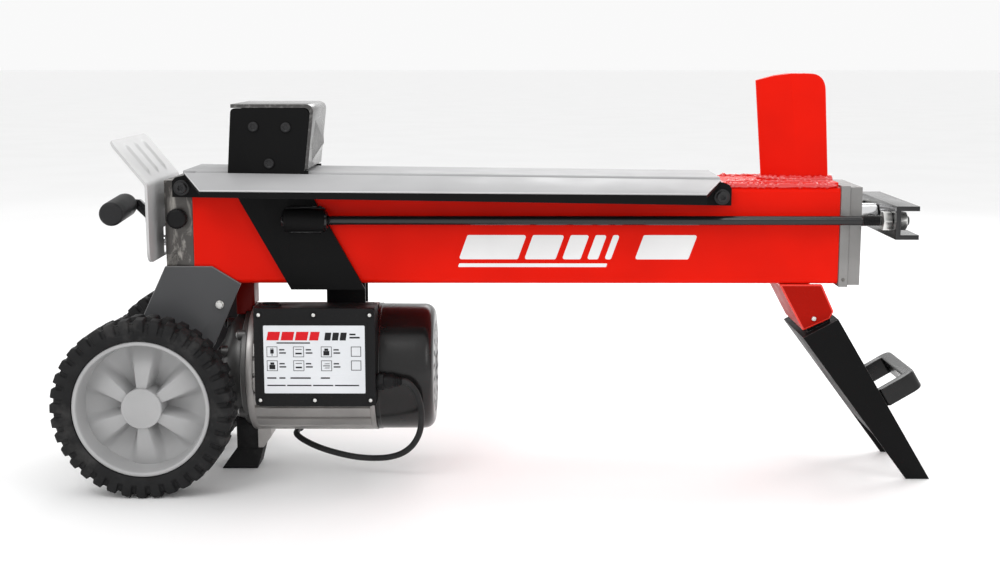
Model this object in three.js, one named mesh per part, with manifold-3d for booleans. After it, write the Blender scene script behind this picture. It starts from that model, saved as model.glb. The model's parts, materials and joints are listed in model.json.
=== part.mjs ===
// Small horizontal electric log splitter: a red box beam on two wheels and a folding-sheet leg,
// a hydraulic ram that drags a pusher towards a fixed wedge, and an electric motor with a gear pump.
// Millimetres, +Z up, +X from the wheels to the leg, ground at z = 0.
import * as THREE from 'three';
import { mergeVertices } from 'three/addons/utils/BufferGeometryUtils.js';
import Module from 'manifold-3d';

const wasm = await Module();
wasm.setup();

// ---- driving dimensions -------------------------------------------------------------------
const SHIFT_X = 3; // moves every piece along X, so that x = 0 is the middle of the whole length
const GAP = 0.3; // clearance between pieces that touch
const SHEET = 2.5; // folded sheet thickness

const BEAM = { left: -337, right: 363, bottom: 216.5, top: 321.5, half: 50, wall: 4 };
const RAM_Z = 287.5; // height of the piston rod and the two tie rods
const ROD_Y = 64; // tie rods' distance from the centre plane

const WHEEL = { x: -380.5, radius: 95.5, width: 47, track: 114.5, rim: 73, boreRadius: 6.5 };
const AXLE_RADIUS = 6;

const MOTOR = { z: 115, radius: 72, left: -281, right: -141, fanRight: -77, shaftRadius: 8 };
const BOX = { left: -266, right: -137, bottom: 91, top: 197.3, front: -98, lid: -95.3 };

const BED = { left: -333, right: 232.7, leftTop: 339.5, rightTop: 332.8 };
const TABLE = { inner: 58.5, outer: 110, sheet: 1.5 };
const PUSHER = { inner: 51.7, outer: 56.7, top: 407 };
const CROSSBAR = { left: 414.5, right: 439, bottom: 269.5, top: 305, half: 85.5, wall: 5 };
const LEG = { half: 57.7, wall: 4, stubHalf: 49.5 };

const LEVER_PIVOT = { x: -393, z: 283.5 };
const PLUNGER_Z = 258;

// ---- materials ----------------------------------------------------------------------------
const paint = (color, roughness, metalness) => new THREE.MeshStandardMaterial({ color, roughness, metalness });
const MATERIALS = {
  red: paint(0xdc1806, 0.35, 0.1),
  black: paint(0x1c1c1e, 0.45, 0.2),
  grey: paint(0xcdced0, 0.4, 0.2),
  steel: paint(0x8d8f93, 0.35, 0.9),
  darkSteel: paint(0x3b3b3d, 0.4, 0.8),
  bracket: paint(0x5f6063, 0.5, 0.3),
  aluminium: paint(0xaaa6a3, 0.45, 0.8),
  plastic: paint(0x202022, 0.55, 0.0),
  rimPlastic: paint(0xbdbdbd, 0.5, 0.0),
  rubber: paint(0x1a1a1a, 0.85, 0.0),
  copper: paint(0xb4653a, 0.4, 0.8),
};

// ---- solids: plain closed geometry, and its joining and cutting ---------------------------
function bare(geometry) {
  const copy = geometry.clone();
  copy.deleteAttribute('normal');
  copy.deleteAttribute('uv');
  return mergeVertices(copy, 1e-4);
}

function signedVolume(position, index) {
  const [a, b, c] = [new THREE.Vector3(), new THREE.Vector3(), new THREE.Vector3()];
  let volume = 0;
  for (let i = 0; i < index.length; i += 3) {
    a.fromBufferAttribute(position, index[i]);
    b.fromBufferAttribute(position, index[i + 1]);
    c.fromBufferAttribute(position, index[i + 2]);
    volume += a.dot(b.cross(c)) / 6;
  }
  return volume;
}

// a closed geometry with merged corners, no empty triangles and its faces pointing out
function closed(geometry) {
  const merged = bare(geometry);
  const source = merged.index.array;
  const index = [];
  for (let i = 0; i < source.length; i += 3) {
    const [a, b, c] = [source[i], source[i + 1], source[i + 2]];
    if (a !== b && b !== c && c !== a) index.push(a, b, c);
  }
  if (signedVolume(merged.attributes.position, index) < 0) index.reverse();
  const result = new THREE.BufferGeometry();
  result.setAttribute('position', merged.attributes.position);
  result.setIndex(index);
  return result;
}

function toManifold(geometry) {
  const merged = closed(geometry);
  const mesh = new wasm.Mesh({
    numProp: 3,
    vertProperties: new Float32Array(merged.attributes.position.array),
    triVerts: new Uint32Array(merged.index.array),
  });
  mesh.merge();
  return new wasm.Manifold(mesh);
}

function fromManifold(solid) {
  const mesh = solid.getMesh();
  const geometry = new THREE.BufferGeometry();
  geometry.setAttribute('position', new THREE.BufferAttribute(new Float32Array(mesh.vertProperties), 3));
  geometry.setIndex(new THREE.BufferAttribute(new Uint32Array(mesh.triVerts), 1));
  return geometry;
}

const join = (first, ...others) =>
  fromManifold(others.reduce((solid, other) => solid.add(toManifold(other)), toManifold(first)));
const cut = (first, ...others) =>
  fromManifold(others.reduce((solid, other) => solid.subtract(toManifold(other)), toManifold(first)));
const common = (first, second) => fromManifold(toManifold(first).intersect(toManifold(second)));

// ---- shapes placed in the machine's frame -------------------------------------------------
function box(x0, x1, y0, y1, z0, z1) {
  return new THREE.BoxGeometry(x1 - x0, y1 - y0, z1 - z0).translate((x0 + x1) / 2, (y0 + y1) / 2, (z0 + z1) / 2);
}

// a cylinder along 'x', 'y' or 'z' between two values of that coordinate; centre holds the other two
function rod(axis, radius, from, to, centre, segments = 20) {
  const geometry = new THREE.CylinderGeometry(radius, radius, to - from, segments);
  const middle = (from + to) / 2;
  if (axis === 'x') return geometry.rotateZ(-Math.PI / 2).translate(middle, centre[0], centre[1]);
  if (axis === 'y') return geometry.translate(centre[0], middle, centre[1]);
  return geometry.rotateX(Math.PI / 2).translate(centre[0], centre[1], middle);
}

// a turned piece: profile points are [radius, distance along the axis]
function turned(axis, profile, centre, segments = 32) {
  const points = profile.map(([radius, along]) => new THREE.Vector2(radius, along));
  const geometry = new THREE.LatheGeometry(points, segments);
  if (axis === 'x') return geometry.rotateZ(-Math.PI / 2).translate(0, centre[0], centre[1]);
  return geometry.translate(centre[0], 0, centre[1]);
}

const ring = (axis, outer, inner, from, to, centre, segments) =>
  turned(axis, [[inner, from], [outer, from], [outer, to], [inner, to], [inner, from]], centre, segments);

const shapeOf = (points) => new THREE.Shape(points.map(([a, b]) => new THREE.Vector2(a, b)));
const extruded = (shape, depth) => new THREE.ExtrudeGeometry(shape, { depth, bevelEnabled: false, curveSegments: 8 });

// an outline in the X-Z plane, given thickness from y0 to y1
const plateXZ = (shape, y0, y1) => extruded(shape, y1 - y0).rotateX(Math.PI / 2).translate(0, y1, 0);

// an outline in the Y-Z plane, given thickness from x0 to x1
function plateYZ(shape, x0, x1) {
  const turn = new THREE.Matrix4().makeBasis(
    new THREE.Vector3(0, 1, 0), new THREE.Vector3(0, 0, 1), new THREE.Vector3(1, 0, 0));
  return extruded(shape, x1 - x0).applyMatrix4(turn).translate(x0, 0, 0);
}

// a six-sided block between two four-cornered faces, each listed in the same turning order
function blockBetween(faceA, faceB) {
  const geometry = new THREE.BufferGeometry();
  geometry.setAttribute('position', new THREE.Float32BufferAttribute([...faceA, ...faceB].flat(), 3));
  const index = [0, 2, 1, 0, 3, 2, 4, 5, 6, 4, 6, 7];
  for (let i = 0; i < 4; i++) {
    const next = (i + 1) % 4;
    index.push(i, next, next + 4, i, next + 4, i + 4);
  }
  geometry.setIndex(index);
  return geometry;
}

// the outline of a flat bar of even width that follows a bent centre line
function barOutline(centreLine, width) {
  const points = centreLine.map(([a, b]) => new THREE.Vector2(a, b));
  const left = [];
  const right = [];
  points.forEach((point, i) => {
    const before = points[Math.max(i - 1, 0)];
    const after = points[Math.min(i + 1, points.length - 1)];
    const into = point.clone().sub(before).normalize();
    const out = after.clone().sub(point).normalize();
    if (i === 0) into.copy(out);
    if (i === points.length - 1) out.copy(into);
    const along = into.clone().add(out).normalize();
    const reach = width / 2 / along.dot(into);
    left.push(new THREE.Vector2(point.x - along.y * reach, point.y + along.x * reach));
    right.push(new THREE.Vector2(point.x + along.y * reach, point.y - along.x * reach));
  });
  return new THREE.Shape([...left, ...right.reverse()]);
}

// the mirror image in the centre plane
const mirrored = (geometry) => geometry.clone().scale(1, -1, 1);

const splitter = new THREE.Group();
splitter.name = 'log_splitter';

function add(name, geometry, material) {
  const mesh = new THREE.Mesh(closed(geometry).translate(SHIFT_X, 0, 0), MATERIALS[material]);
  mesh.name = name;
  splitter.add(mesh);
}

// the near piece as modelled, and the far piece as its mirror image
function addPair(name, geometry, material) {
  add(`${name}_near`, geometry, material);
  add(`${name}_far`, mirrored(geometry), material);
}

// ---- beam and what is inside it -----------------------------------------------------------
function beamGeometry() {
  const { left, right, bottom, top, half, wall } = BEAM;
  const tube = box(left, right, -half, half, bottom, top);
  return cut(tube, box(left - 1, right + 1, -half + wall, half - wall, bottom + wall, top - wall));
}

const CYLINDER = { outer: 29.5, bore: 25.6, left: BEAM.left + GAP, right: BEAM.right - GAP };
const PISTON = { left: -330, right: -306, radius: 25.2 };
const PISTON_ROD = { radius: 12.5, threadRadius: 8, shoulder: CROSSBAR.left - GAP, end: 434 };

function pistonRodGeometry() {
  const { radius, threadRadius, shoulder, end } = PISTON_ROD;
  const start = PISTON.right + GAP;
  const profile = [[0, start], [radius, start], [radius, shoulder], [threadRadius, shoulder],
    [threadRadius, end], [0, end]];
  return turned('x', profile, [0, RAM_Z], 24);
}

// end plates of the beam, bored for the piston rod
const FLANGE = { left: BEAM.right + GAP, right: BEAM.right + 10.3, half: 51.5, bottom: 213.5, top: 323.5 };
const CAP = { left: FLANGE.right + GAP, right: FLANGE.right + 13.1, half: 50, bottom: 215.5, top: 322 };

function endPlateGeometry({ left, right, half, bottom, top }) {
  const plate = box(left, right, -half, half, bottom, top);
  return cut(plate, rod('x', PISTON_ROD.radius + 0.4, left - 1, right + 1, [0, RAM_Z], 24));
}

function bedPlateGeometry() {
  const { left, right, leftTop, rightTop } = BED;
  const foot = BEAM.top + GAP;
  const outer = plateXZ(shapeOf([[left, foot], [right, foot], [right, rightTop], [left, leftTop]]),
    -BEAM.half, BEAM.half);
  const inside = plateXZ(shapeOf([[left - 1, foot - 1], [right + 1, foot - 1], [right + 1, rightTop - SHEET],
    [left - 1, leftTop - SHEET]]), -BEAM.half + SHEET, BEAM.half - SHEET);
  // the tongue over the valve lies just below the bed's top, which stays one plane
  const tongue = box(left - 13, left + 1, -BEAM.half, BEAM.half, leftTop - SHEET, leftTop - GAP);
  return join(cut(outer, inside), tongue);
}

// ---- wedge on its base plate --------------------------------------------------------------
const WEDGE = { half: 12, edgeX: 285, backX: 357, bevel: 38, lean: 0.084, baseTop: 327, topZ: 443 };

function wedgeGeometry() {
  const { half, edgeX, backX, bevel, lean, baseTop, topZ } = WEDGE;
  const foot = BEAM.top + GAP;
  const outline = new THREE.Shape();
  outline.moveTo(edgeX, foot);
  outline.lineTo(backX, foot);
  outline.lineTo(351.3, 424);
  outline.quadraticCurveTo(350.5, topZ, 333, topZ);
  outline.lineTo(313, topZ);
  outline.lineTo(297, 441);
  outline.lineTo(276, 435.5);
  const plan = shapeOf([[edgeX, -0.6], [edgeX + bevel, -half], [backX + 6, -half], [backX + 6, half],
    [edgeX + bevel, half], [edgeX, 0.6]]);
  const blade = extruded(plan, topZ + 2 - foot + 1).translate(0, 0, foot - 1);
  const leaning = new THREE.Matrix4().set(1, 0, -lean, lean * foot, 0, 1, 0, 0, 0, 0, 1, 0, 0, 0, 0, 1);
  const upright = common(plateXZ(outline, -half, half), blade.applyMatrix4(leaning));
  return join(upright, box(236, 361, -46, 46, foot, baseTop));
}

// ---- log tables: black folded frame with a grey wear sheet, one on each side ---------------
// each outline is given at the inner edge and at the outer edge of the sloping panel
const PANEL = {
  innerLeft: [-343, 338.4], innerRight: [232.5, 331], outerLeft: [-316.5, 323.8], outerRight: [210.7, 320.4],
};
const EAR_BOLTS = [[-345.9, 322], [233.6, 312.5]];

function panelSlab(inner, outer, drop, thickness) {
  const corners = (down) => [
    [PANEL.innerLeft[0], -inner, PANEL.innerLeft[1] - down], [PANEL.innerRight[0], -inner, PANEL.innerRight[1] - down],
    [PANEL.outerRight[0], -outer, PANEL.outerRight[1] - down], [PANEL.outerLeft[0], -outer, PANEL.outerLeft[1] - down],
  ];
  return blockBetween(corners(drop + thickness), corners(drop));
}

function tableFrameGeometry() {
  const { inner, outer, sheet } = TABLE;
  const drop = sheet + GAP;
  const ears = plateXZ(shapeOf([[-356, 312.1], [243.7, 303.2], [243.9, 321.6], [241, 325.6], [234.5, 328.2],
    [231.5, 331 - drop - 0.9], [-342, 338.4 - drop - 0.9], [-352.5, 333.2], [-355.8, 329.2]]), -inner - SHEET, -inner);
  const panel = panelSlab(inner + 0.5, outer, drop, SHEET);
  const [leftX, leftZ] = PANEL.outerLeft;
  const [rightX, rightZ] = PANEL.outerRight;
  const lipFace = (y) => [[leftX, y, 316.5], [rightX, y, 308.7], [rightX, y, rightZ - drop], [leftX, y, leftZ - drop]];
  const lip = blockBetween(lipFace(-outer), lipFace(-outer + SHEET));
  const spacers = EAR_BOLTS.map(([x, z]) => rod('y', 7, -inner - 1, -BEAM.half - 0.4, [x, z], 16));
  return join(ears, panel, lip, ...spacers);
}

// ---- ram: pusher, tie rods, crossbar ------------------------------------------------------
const BOSS = { left: -235, right: -192, radius: 12.5 };
const TIE_ROD = { radius: 5, threadRadius: 6, threadFrom: 383, end: 433, collarFrom: 404.5 };

// side plate: upright pusher cheek above the tables, and a slanting strap beside the beam with a
// shoe that hooks under it
function pusherSideGeometry() {
  const { inner, outer } = PUSHER;
  const outline = new THREE.Shape();
  outline.moveTo(-297, 330);
  outline.lineTo(-292.2, 401.5);
  outline.quadraticCurveTo(-291.9, 406.6, -286.5, 406.6);
  outline.lineTo(-216, 406.6);
  outline.quadraticCurveTo(-208.6, 406.6, -207.8, 400);
  outline.lineTo(-214.7, 339.6);
  outline.lineTo(-210.2, 339.6);
  outline.lineTo(-210.7, 320);
  outline.lineTo(-150.6, 210.9);
  outline.lineTo(-230.9, 210.9);
  const cheek = plateXZ(outline, -outer, -inner);
  const shoe = box(-222, -158, -inner - 1, -40, 210.9, BEAM.bottom - 0.6);
  const boss = rod('x', BOSS.radius, BOSS.left, BOSS.right, [-ROD_Y, RAM_Z], 24);
  const beamSide = box(-400, 0, -BEAM.half - 0.8, 0, 200, 400);
  const bore = rod('x', TIE_ROD.radius + GAP, BOSS.left - 1, BOSS.right + 1, [-ROD_Y, RAM_Z], 16);
  return cut(join(cheek, shoe, cut(boss, beamSide)), bore);
}

function pusherBlockGeometry() {
  const half = PUSHER.inner - GAP;
  const outline = shapeOf([[-289, 342], [-215, 342], [-208.2, 400], [-214.5, 406.4], [-284, 406.4]]);
  const pocket = box(-300, -224, -half + 9, half - 9, 352, 397);
  return cut(plateXZ(outline, -half, half), pocket);
}

// one bent plate: flat on top of the pusher, then down its front, with a low pyramid pressed out of
// its middle to hold the log
const NOSE = { bottom: 345, top: 398, half: 36, tipX: -199.8, tipZ: 368 };

function pusherFaceGeometry() {
  const face = new THREE.Shape();
  face.moveTo(-291.8, PUSHER.top);
  face.lineTo(-214, PUSHER.top);
  face.quadraticCurveTo(-207.9, PUSHER.top, -207.3, 401);
  face.lineTo(-214, 341.5);
  face.lineTo(-210.4, 341.5);
  face.lineTo(-203.6, 402);
  face.quadraticCurveTo(-203.2, PUSHER.top + 4, -212.5, PUSHER.top + 4);
  face.lineTo(-291.8, PUSHER.top + 4);
  const square = (xTop, xBottom, half, bottom, top) =>
    [[xTop, -half, top], [xTop, half, top], [xBottom, half, bottom], [xBottom, -half, bottom]];
  const { bottom, top, half, tipX, tipZ } = NOSE;
  const nose = blockBetween(square(-205.5, -211.4, half, bottom, top), square(tipX, tipX, 1.5, tipZ - 1.5, tipZ + 1.5));
  return join(plateXZ(face, -PUSHER.outer, PUSHER.outer), nose);
}

function crossbarGeometry() {
  const { left, right, bottom, top, half, wall } = CROSSBAR;
  const channel = box(left, right, -half, half, bottom, top);
  const hollow = box(left + wall, right + 1, -half - 1, half + 1, bottom + wall, top - wall);
  const holes = [-ROD_Y, 0, ROD_Y].map((y) =>
    rod('x', (y === 0 ? PISTON_ROD.threadRadius : TIE_ROD.threadRadius) + 0.4, left - 1, left + wall + 1, [y, RAM_Z]));
  return cut(channel, hollow, ...holes);
}

// tie rod with the inner nut run on to it; its plain end sits in the boss of the pusher's side plate
function tieRodGeometry() {
  const { radius, threadRadius, threadFrom, end, collarFrom } = TIE_ROD;
  const start = BOSS.left + 1;
  const profile = [[0, start], [radius, start], [radius, threadFrom], [threadRadius, threadFrom],
    [threadRadius, end], [0, end]];
  const innerNut = hexNut(11, 0, collarFrom, CROSSBAR.left - GAP, -ROD_Y);
  return join(turned('x', profile, [-ROD_Y, RAM_Z], 16), innerNut);
}

// hexagonal nut along X with two flats level; corner is its corner radius and hole its bore radius
function hexNut(corner, hole, from, to, y) {
  const nut = new THREE.CylinderGeometry(corner, corner, to - from, 6)
    .rotateZ(-Math.PI / 2).rotateX(Math.PI / 2).translate((from + to) / 2, y, RAM_Z);
  return hole > 0 ? cut(nut, rod('x', hole, from - 1, to + 1, [y, RAM_Z], 16)) : nut;
}

// ---- valve, guard and control lever -------------------------------------------------------
const VALVE = { left: -367, right: BEAM.left - GAP, top: 329, screwX: -353.4, screwZ: 288 };
const GUARD = { left: -381.5, right: -378.5, bottom: 242, bend: 327, tipX: -416, tipZ: 373, half: 77 };

function valveBlockGeometry() {
  const { left, right, top, screwX, screwZ } = VALVE;
  const block = box(left, right, -BEAM.half, BEAM.half, BEAM.bottom, top);
  const standoffs = [258, 302].map((z) => rod('x', 7, GUARD.right + GAP, left + 1, [22, z], 16));
  const spoolBore = rod('x', 4.4, left - 1, right + 1, [0, PLUNGER_Z], 16);
  const bleedBore = rod('y', 4.4, -BEAM.half - 1, -26, [screwX, screwZ], 16);
  return cut(join(block, ...standoffs), spoolBore, bleedBore);
}

function guardPlateGeometry() {
  const { left, right, bottom, bend, tipX, tipZ, half } = GUARD;
  const thickness = right - left;
  const profile = shapeOf([[right, bottom], [right, bend], [tipX + thickness * 0.78, tipZ + thickness * 0.62],
    [tipX, tipZ], [left, bend - 1], [left, bottom]]);
  const window = box(left - 1, right + 1, -10, 10, 244, 274);
  const corner = 14;
  const outline = new THREE.Shape();
  outline.moveTo(-half, tipZ + 5);
  outline.lineTo(-half, bottom + corner);
  outline.quadraticCurveTo(-half, bottom, -half + corner, bottom);
  outline.lineTo(half - corner, bottom);
  outline.quadraticCurveTo(half, bottom, half, bottom + corner);
  outline.lineTo(half, tipZ + 5);
  return cut(common(plateXZ(profile, -half, half), plateYZ(outline, tipX - 5, right + 1)), window);
}

// a small U bracket on the guard, with the lever's pin through its ears
function leverBracketGeometry() {
  const { x, z } = LEVER_PIVOT;
  const back = GUARD.left - GAP;
  const base = box(back - SHEET, back, -14, 14, z - 4.5, z + 13.5);
  const ear = box(x - 6, back - 1, 4.6, 7.6, z - 4.5, z + 6.5);
  return join(base, ear, mirrored(ear), rod('y', 2.5, -9, 9, [x, z], 16));
}

const GRIP = { x: -420, z: 299, length: 72, tilt: 0.062, radius: 13, core: 5 };

// bent bar on the pivot, with a round core that the grip is pressed on to
function leverBarGeometry() {
  const { x, z } = LEVER_PIVOT;
  const line = [[GRIP.x, GRIP.z], [-408, 298.5], [x, z], [x + 6.4, z - 25.5]];
  const bar = plateXZ(barOutline(line, 10), -4, 4);
  const toe = rod('y', 5, -4, 4, line[3], 16);
  const eye = rod('y', 7, -4, 4, [x, z], 16);
  const shoulder = rod('y', 5, -4, 4, line[0], 16);
  const core = new THREE.CylinderGeometry(GRIP.core, GRIP.core, GRIP.length - 6, 16)
    .translate(0, -GRIP.length / 2 + 3, 0).rotateX(GRIP.tilt).translate(GRIP.x, 0, GRIP.z);
  return cut(join(bar, toe, eye, shoulder, core), rod('y', 2.8, -5, 5, [x, z], 16));
}

function leverGripGeometry() {
  const { length, radius, core, tilt, x, z } = GRIP;
  const near = -length - 2;
  const profile = [[0, near], [radius - 3, near], [radius, near + 4], [radius, -10], [radius - 3, -5],
    [core + GAP, -5], [core + GAP, -length + 5], [0, -length + 5]];
  return turned('y', profile, [0, 0], 24).rotateX(tilt).translate(x, 0, z);
}

// valve plunger: head in the guard's window, shank in the valve block
function plungerGeometry() {
  const head = -381.2;
  const profile = [[0, head], [6, head], [6, head + 5], [4, head + 5], [4, -345], [0, -345]];
  return turned('x', profile, [0, PLUNGER_Z], 20);
}

function bleedScrewGeometry() {
  const face = -BEAM.half - GAP;
  const profile = [[0, face - 9], [9.5, face - 9], [11, face - 7], [11, face], [4, face], [4, -30], [0, -30]];
  return turned('y', profile, [VALVE.screwX, VALVE.screwZ], 20);
}

// ---- wheels, axle and brackets ------------------------------------------------------------
// distances along the axle are from the wheel's middle plane, positive outwards
const outward = (profile) => profile.map(([radius, along]) => [radius, -WHEEL.track - along]);

function tyreGeometry() {
  const half = WHEEL.width / 2;
  const bead = WHEEL.rim + GAP;
  const profile = [[bead, -20], [84, -half], [91.4, -half + 0.5], [WHEEL.radius, -half + 6],
    [WHEEL.radius, half - 6], [91.4, half - 0.5], [84, half], [bead, 20], [bead, -20]];
  return turned('y', outward(profile), [WHEEL.x, WHEEL.radius], 36);
}

function rimGeometry() {
  const { boreRadius, rim } = WHEEL;
  const profile = [[boreRadius, -20], [18, -20], [20, -8], [58, -15], [66, -19], [rim, -19], [rim, 19], [68, 19],
    [66.5, 16], [65.5, -7], [60, -8.5], [24, 10], [20, 12.2], [boreRadius, 12.2], [boreRadius, -20]];
  return turned('y', outward(profile), [WHEEL.x, WHEEL.radius], 36);
}

function hubCapGeometry() {
  const profile = [[9, 12.6], [21.6, 12.6], [21.6, 15], [19, 17.6], [12, 18.4], [0, 18.5], [0, 15.8], [9, 15.8], [9, 12.6]];
  return turned('y', outward(profile), [WHEEL.x, WHEEL.radius], 28);
}

function axleGeometry() {
  const end = WHEEL.track + 15.2;
  const collar = [WHEEL.track - 20 - GAP, 54.8];
  const profile = [[0, -end], [AXLE_RADIUS, -end], [AXLE_RADIUS, -collar[0]], [9, -collar[0]], [9, -collar[1]],
    [AXLE_RADIUS, -collar[1]], [AXLE_RADIUS, collar[1]], [9, collar[1]], [9, collar[0]],
    [AXLE_RADIUS, collar[0]], [AXLE_RADIUS, end], [0, end]];
  return turned('y', profile, [WHEEL.x, WHEEL.radius], 20);
}

function wheelBracketGeometry() {
  const eye = 24;
  const outline = new THREE.Shape();
  outline.moveTo(-368, 236);
  outline.lineTo(-394.5, 180);
  outline.lineTo(WHEEL.x - eye, WHEEL.radius);
  outline.absarc(WHEEL.x, WHEEL.radius, eye, Math.PI, 2 * Math.PI - 0.3, false);
  outline.lineTo(-316, 150);
  outline.lineTo(-286, 217);
  outline.lineTo(-317, 236);
  const plate = plateXZ(outline, -BEAM.half - 4.4, -BEAM.half - 0.4);
  return cut(plate, rod('y', AXLE_RADIUS + GAP, -60, -40, [WHEEL.x, WHEEL.radius], 20));
}

// ---- motor, pump and switch box -----------------------------------------------------------
const motorAxis = [0, MOTOR.z];

function motorHousingGeometry() {
  const { left, right, radius } = MOTOR;
  const lug = box(-278.4, -262.8, -15, 15, 22.6, 49);
  return join(ring('x', radius, 64, left, right, motorAxis, 36), lug);
}

const PUMP_FLANGE = { left: -288, right: MOTOR.left - GAP, radius: 66 };

function motorFlangeGeometry() {
  const { left, right, radius } = PUMP_FLANGE;
  return ring('x', radius, MOTOR.shaftRadius + 0.4, left, right, motorAxis, 32);
}

// post from the beam down on to the motor's end and its flange
function hangerGeometry() {
  const post = box(-299, -278.5, -15, 15, 176, BEAM.bottom - GAP);
  const overMotor = rod('x', MOTOR.radius + 0.4, MOTOR.left - GAP, -270, motorAxis, 36);
  const overFlange = rod('x', PUMP_FLANGE.radius + 0.4, PUMP_FLANGE.left - GAP, -270, motorAxis, 32);
  return cut(post, overMotor, overFlange);
}

function pumpHousingGeometry() {
  const right = PUMP_FLANGE.left - GAP;
  const outline = [[0, -315], [26, -315], [44, -311], [56, -303], [60, -294], [60, right], [26, right],
    [26, -306], [0, -306]];
  return turned('x', outline, motorAxis, 32);
}

// rubber foot with a flared sole, on a column under the pump
function footGeometry() {
  const sole = [[-319, -20, 0], [-279, -20, 0], [-279, 20, 0], [-319, 20, 0]];
  const top = [[-303, -16, 22], [-273, -16, 22], [-273, 16, 22], [-303, 16, 22]];
  const column = box(-302.5, -279, -15, 15, 20, 62);
  const pump = rod('x', 60.5, -320, PUMP_FLANGE.left - 0.1, motorAxis, 32);
  const flange = rod('x', PUMP_FLANGE.radius + 0.5, PUMP_FLANGE.left - GAP, PUMP_FLANGE.right + 0.1, motorAxis, 32);
  const motor = rod('x', MOTOR.radius + 0.5, PUMP_FLANGE.right, -250, motorAxis, 36);
  return cut(join(blockBetween(sole, top), column), pump, flange, motor);
}

function fanCoverGeometry() {
  const { right, fanRight } = MOTOR;
  const left = right + GAP;
  const profile = [[66, left], [70.5, left], [70.5, -90], [68, -81], [60, fanRight], [0, fanRight], [0, -80],
    [58, -80], [65, -84], [66, -90], [66, left]];
  return turned('x', profile, motorAxis, 36);
}

const ROTOR = { left: -258, right: -176, radius: 37.5 };

function rotorGeometry() {
  const { left, right, radius } = ROTOR;
  const shaft = MOTOR.shaftRadius;
  const profile = [[0, -302], [shaft, -302], [shaft, left], [radius, left], [radius, right], [shaft, right],
    [shaft, -106], [0, -106]];
  return turned('x', profile, motorAxis, 28);
}

function coolingFanGeometry() {
  const disc = ring('x', 20, MOTOR.shaftRadius + GAP, -128, -110, motorAxis, 24);
  const backplate = ring('x', 58, 15, -128, -125.5, motorAxis, 28);
  const blades = [];
  for (let i = 0; i < 8; i++) {
    blades.push(box(-126, -112, 17, 57, -1.2, 1.2).rotateX((i * Math.PI) / 4).translate(0, 0, MOTOR.z));
  }
  return join(disc, backplate, ...blades);
}

// folded hanger: a top plate under the beam and a cheek down to the motor on each side
function motorBracketGeometry() {
  const saddle = box(-197.6, -154.4, -16, 16, 150, BEAM.bottom - GAP);
  const hollow = box(-210, -140, -12, 12, 140, 211);
  const motor = rod('x', MOTOR.radius + 0.4, -210, -140, motorAxis, 36);
  return cut(saddle, hollow, motor);
}

function switchBoxGeometry() {
  const { left, right, bottom, top, lid } = BOX;
  const wall = 3;
  const body = box(left, right, lid, -60, bottom, top);
  const lower = box(left + wall, right - wall, lid - 1, -75, bottom + wall, top - wall);
  const upper = box(left + wall, right - wall, lid - 1, -63, 158, top - wall);
  const motor = rod('x', MOTOR.radius + 0.5, left - 1, right + 1, motorAxis, 36);
  return cut(body, lower, upper, motor, rod('z', 8.4, top - wall - 1, top + 1, BUTTON.place));
}

const BUTTON = { place: [-250, -80], radius: 8, top: BOX.top + 0.6 };
const buttonGeometry = () => rod('z', BUTTON.radius, BUTTON.top - 12, BUTTON.top, BUTTON.place, 20);

function capacitorGeometry() {
  return rod('x', 13, -236, -152, [-79, 177], 20);
}

function glandGeometry() {
  const start = BOX.right + GAP;
  const profile = [[0, start], [9, start], [9, start + 9], [7.5, start + 11], [5, GLAND_END], [0, GLAND_END]];
  return turned('x', profile, [CORD_EXIT[1], CORD_EXIT[2]], 16);
}

// ---- supply cord: gland, hanging loop, two clips, then down to the floor and its plug ------
const GLAND_END = -110;
const CORD_EXIT = [GLAND_END + GAP, -84, 115.2];
const CORD_RADIUS = 3.4;
const CORD_ROUTE = [
  CORD_EXIT, [-106.5, -84, 115.2], [-101, -83.2, 111.5], [-95, -81, 103], [-91, -78, 90], [-89.5, -75, 76], [-90.5, -72, 62],
  [-94, -69, 50], [-101, -65, 38.5], [-112, -60, 29], [-127, -54, 22.8], [-146, -48, 20], [-166, -43, 20.2],
  [-190, -37, 23.8], [-211, -29, 28.5], [-228, -18, 33.8], [-236, -6, 36.5], [-237, 8, 37], [-237, 27, 37.5],
  [-237, 48, 41], [-239, 67, 51], [-246, 80, 64], [-257, 84, 74], [-270, 84, 77], [-288, 82, 73],
  [-304, 78, 62], [-317, 73, 46], [-328, 67, 29], [-338, 61, 14], [-348, 55, 5.5], [-357, 49, 3.6],
  [-367, 43, 3.6], [-377, 38, 5], [-386, 35, 9.5], [-395, 33.5, 14.5], [-405, 33, 16.8], [-411.7, 33, 17.2],
];
const PLUG = { from: -412, y: 33, z: 17.2 };

function cordGeometry() {
  const points = CORD_ROUTE.map(([x, y, z]) => new THREE.Vector3(x, y, z));
  const path = new THREE.CatmullRomCurve3(points, false, 'centripetal');
  const section = new THREE.Shape();
  section.absarc(0, 0, CORD_RADIUS, 0, 2 * Math.PI, false);
  return new THREE.ExtrudeGeometry(section, { steps: 64, extrudePath: path, curveSegments: 4, bevelEnabled: false });
}

// two-pin plug lying on its side
function plugGeometry() {
  const { from, y, z } = PLUG;
  const profile = [[0, from - 34], [16, from - 34], [17, from - 31], [17, from - 22], [10, from - 14],
    [6, from], [0, from]];
  const pins = [-9.5, 9.5].map((side) => rod('x', 2.4, from - 53, from - 33, [y + side, z], 10));
  return join(turned('x', profile, [y, z], 20), ...pins);
}

// loop clip round the cord, with a flat tab screwed to the motor; the loop's axis lies along 'x' or 'y'
function clipGeometry(axis, centre, from, to, tab) {
  const inner = CORD_RADIUS + 0.7;
  const hole = rod(axis, inner, from - 1, to + 1, centre, 20);
  return cut(join(rod(axis, inner + 1.6, from, to, centre, 20), tab), hole);
}

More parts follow.
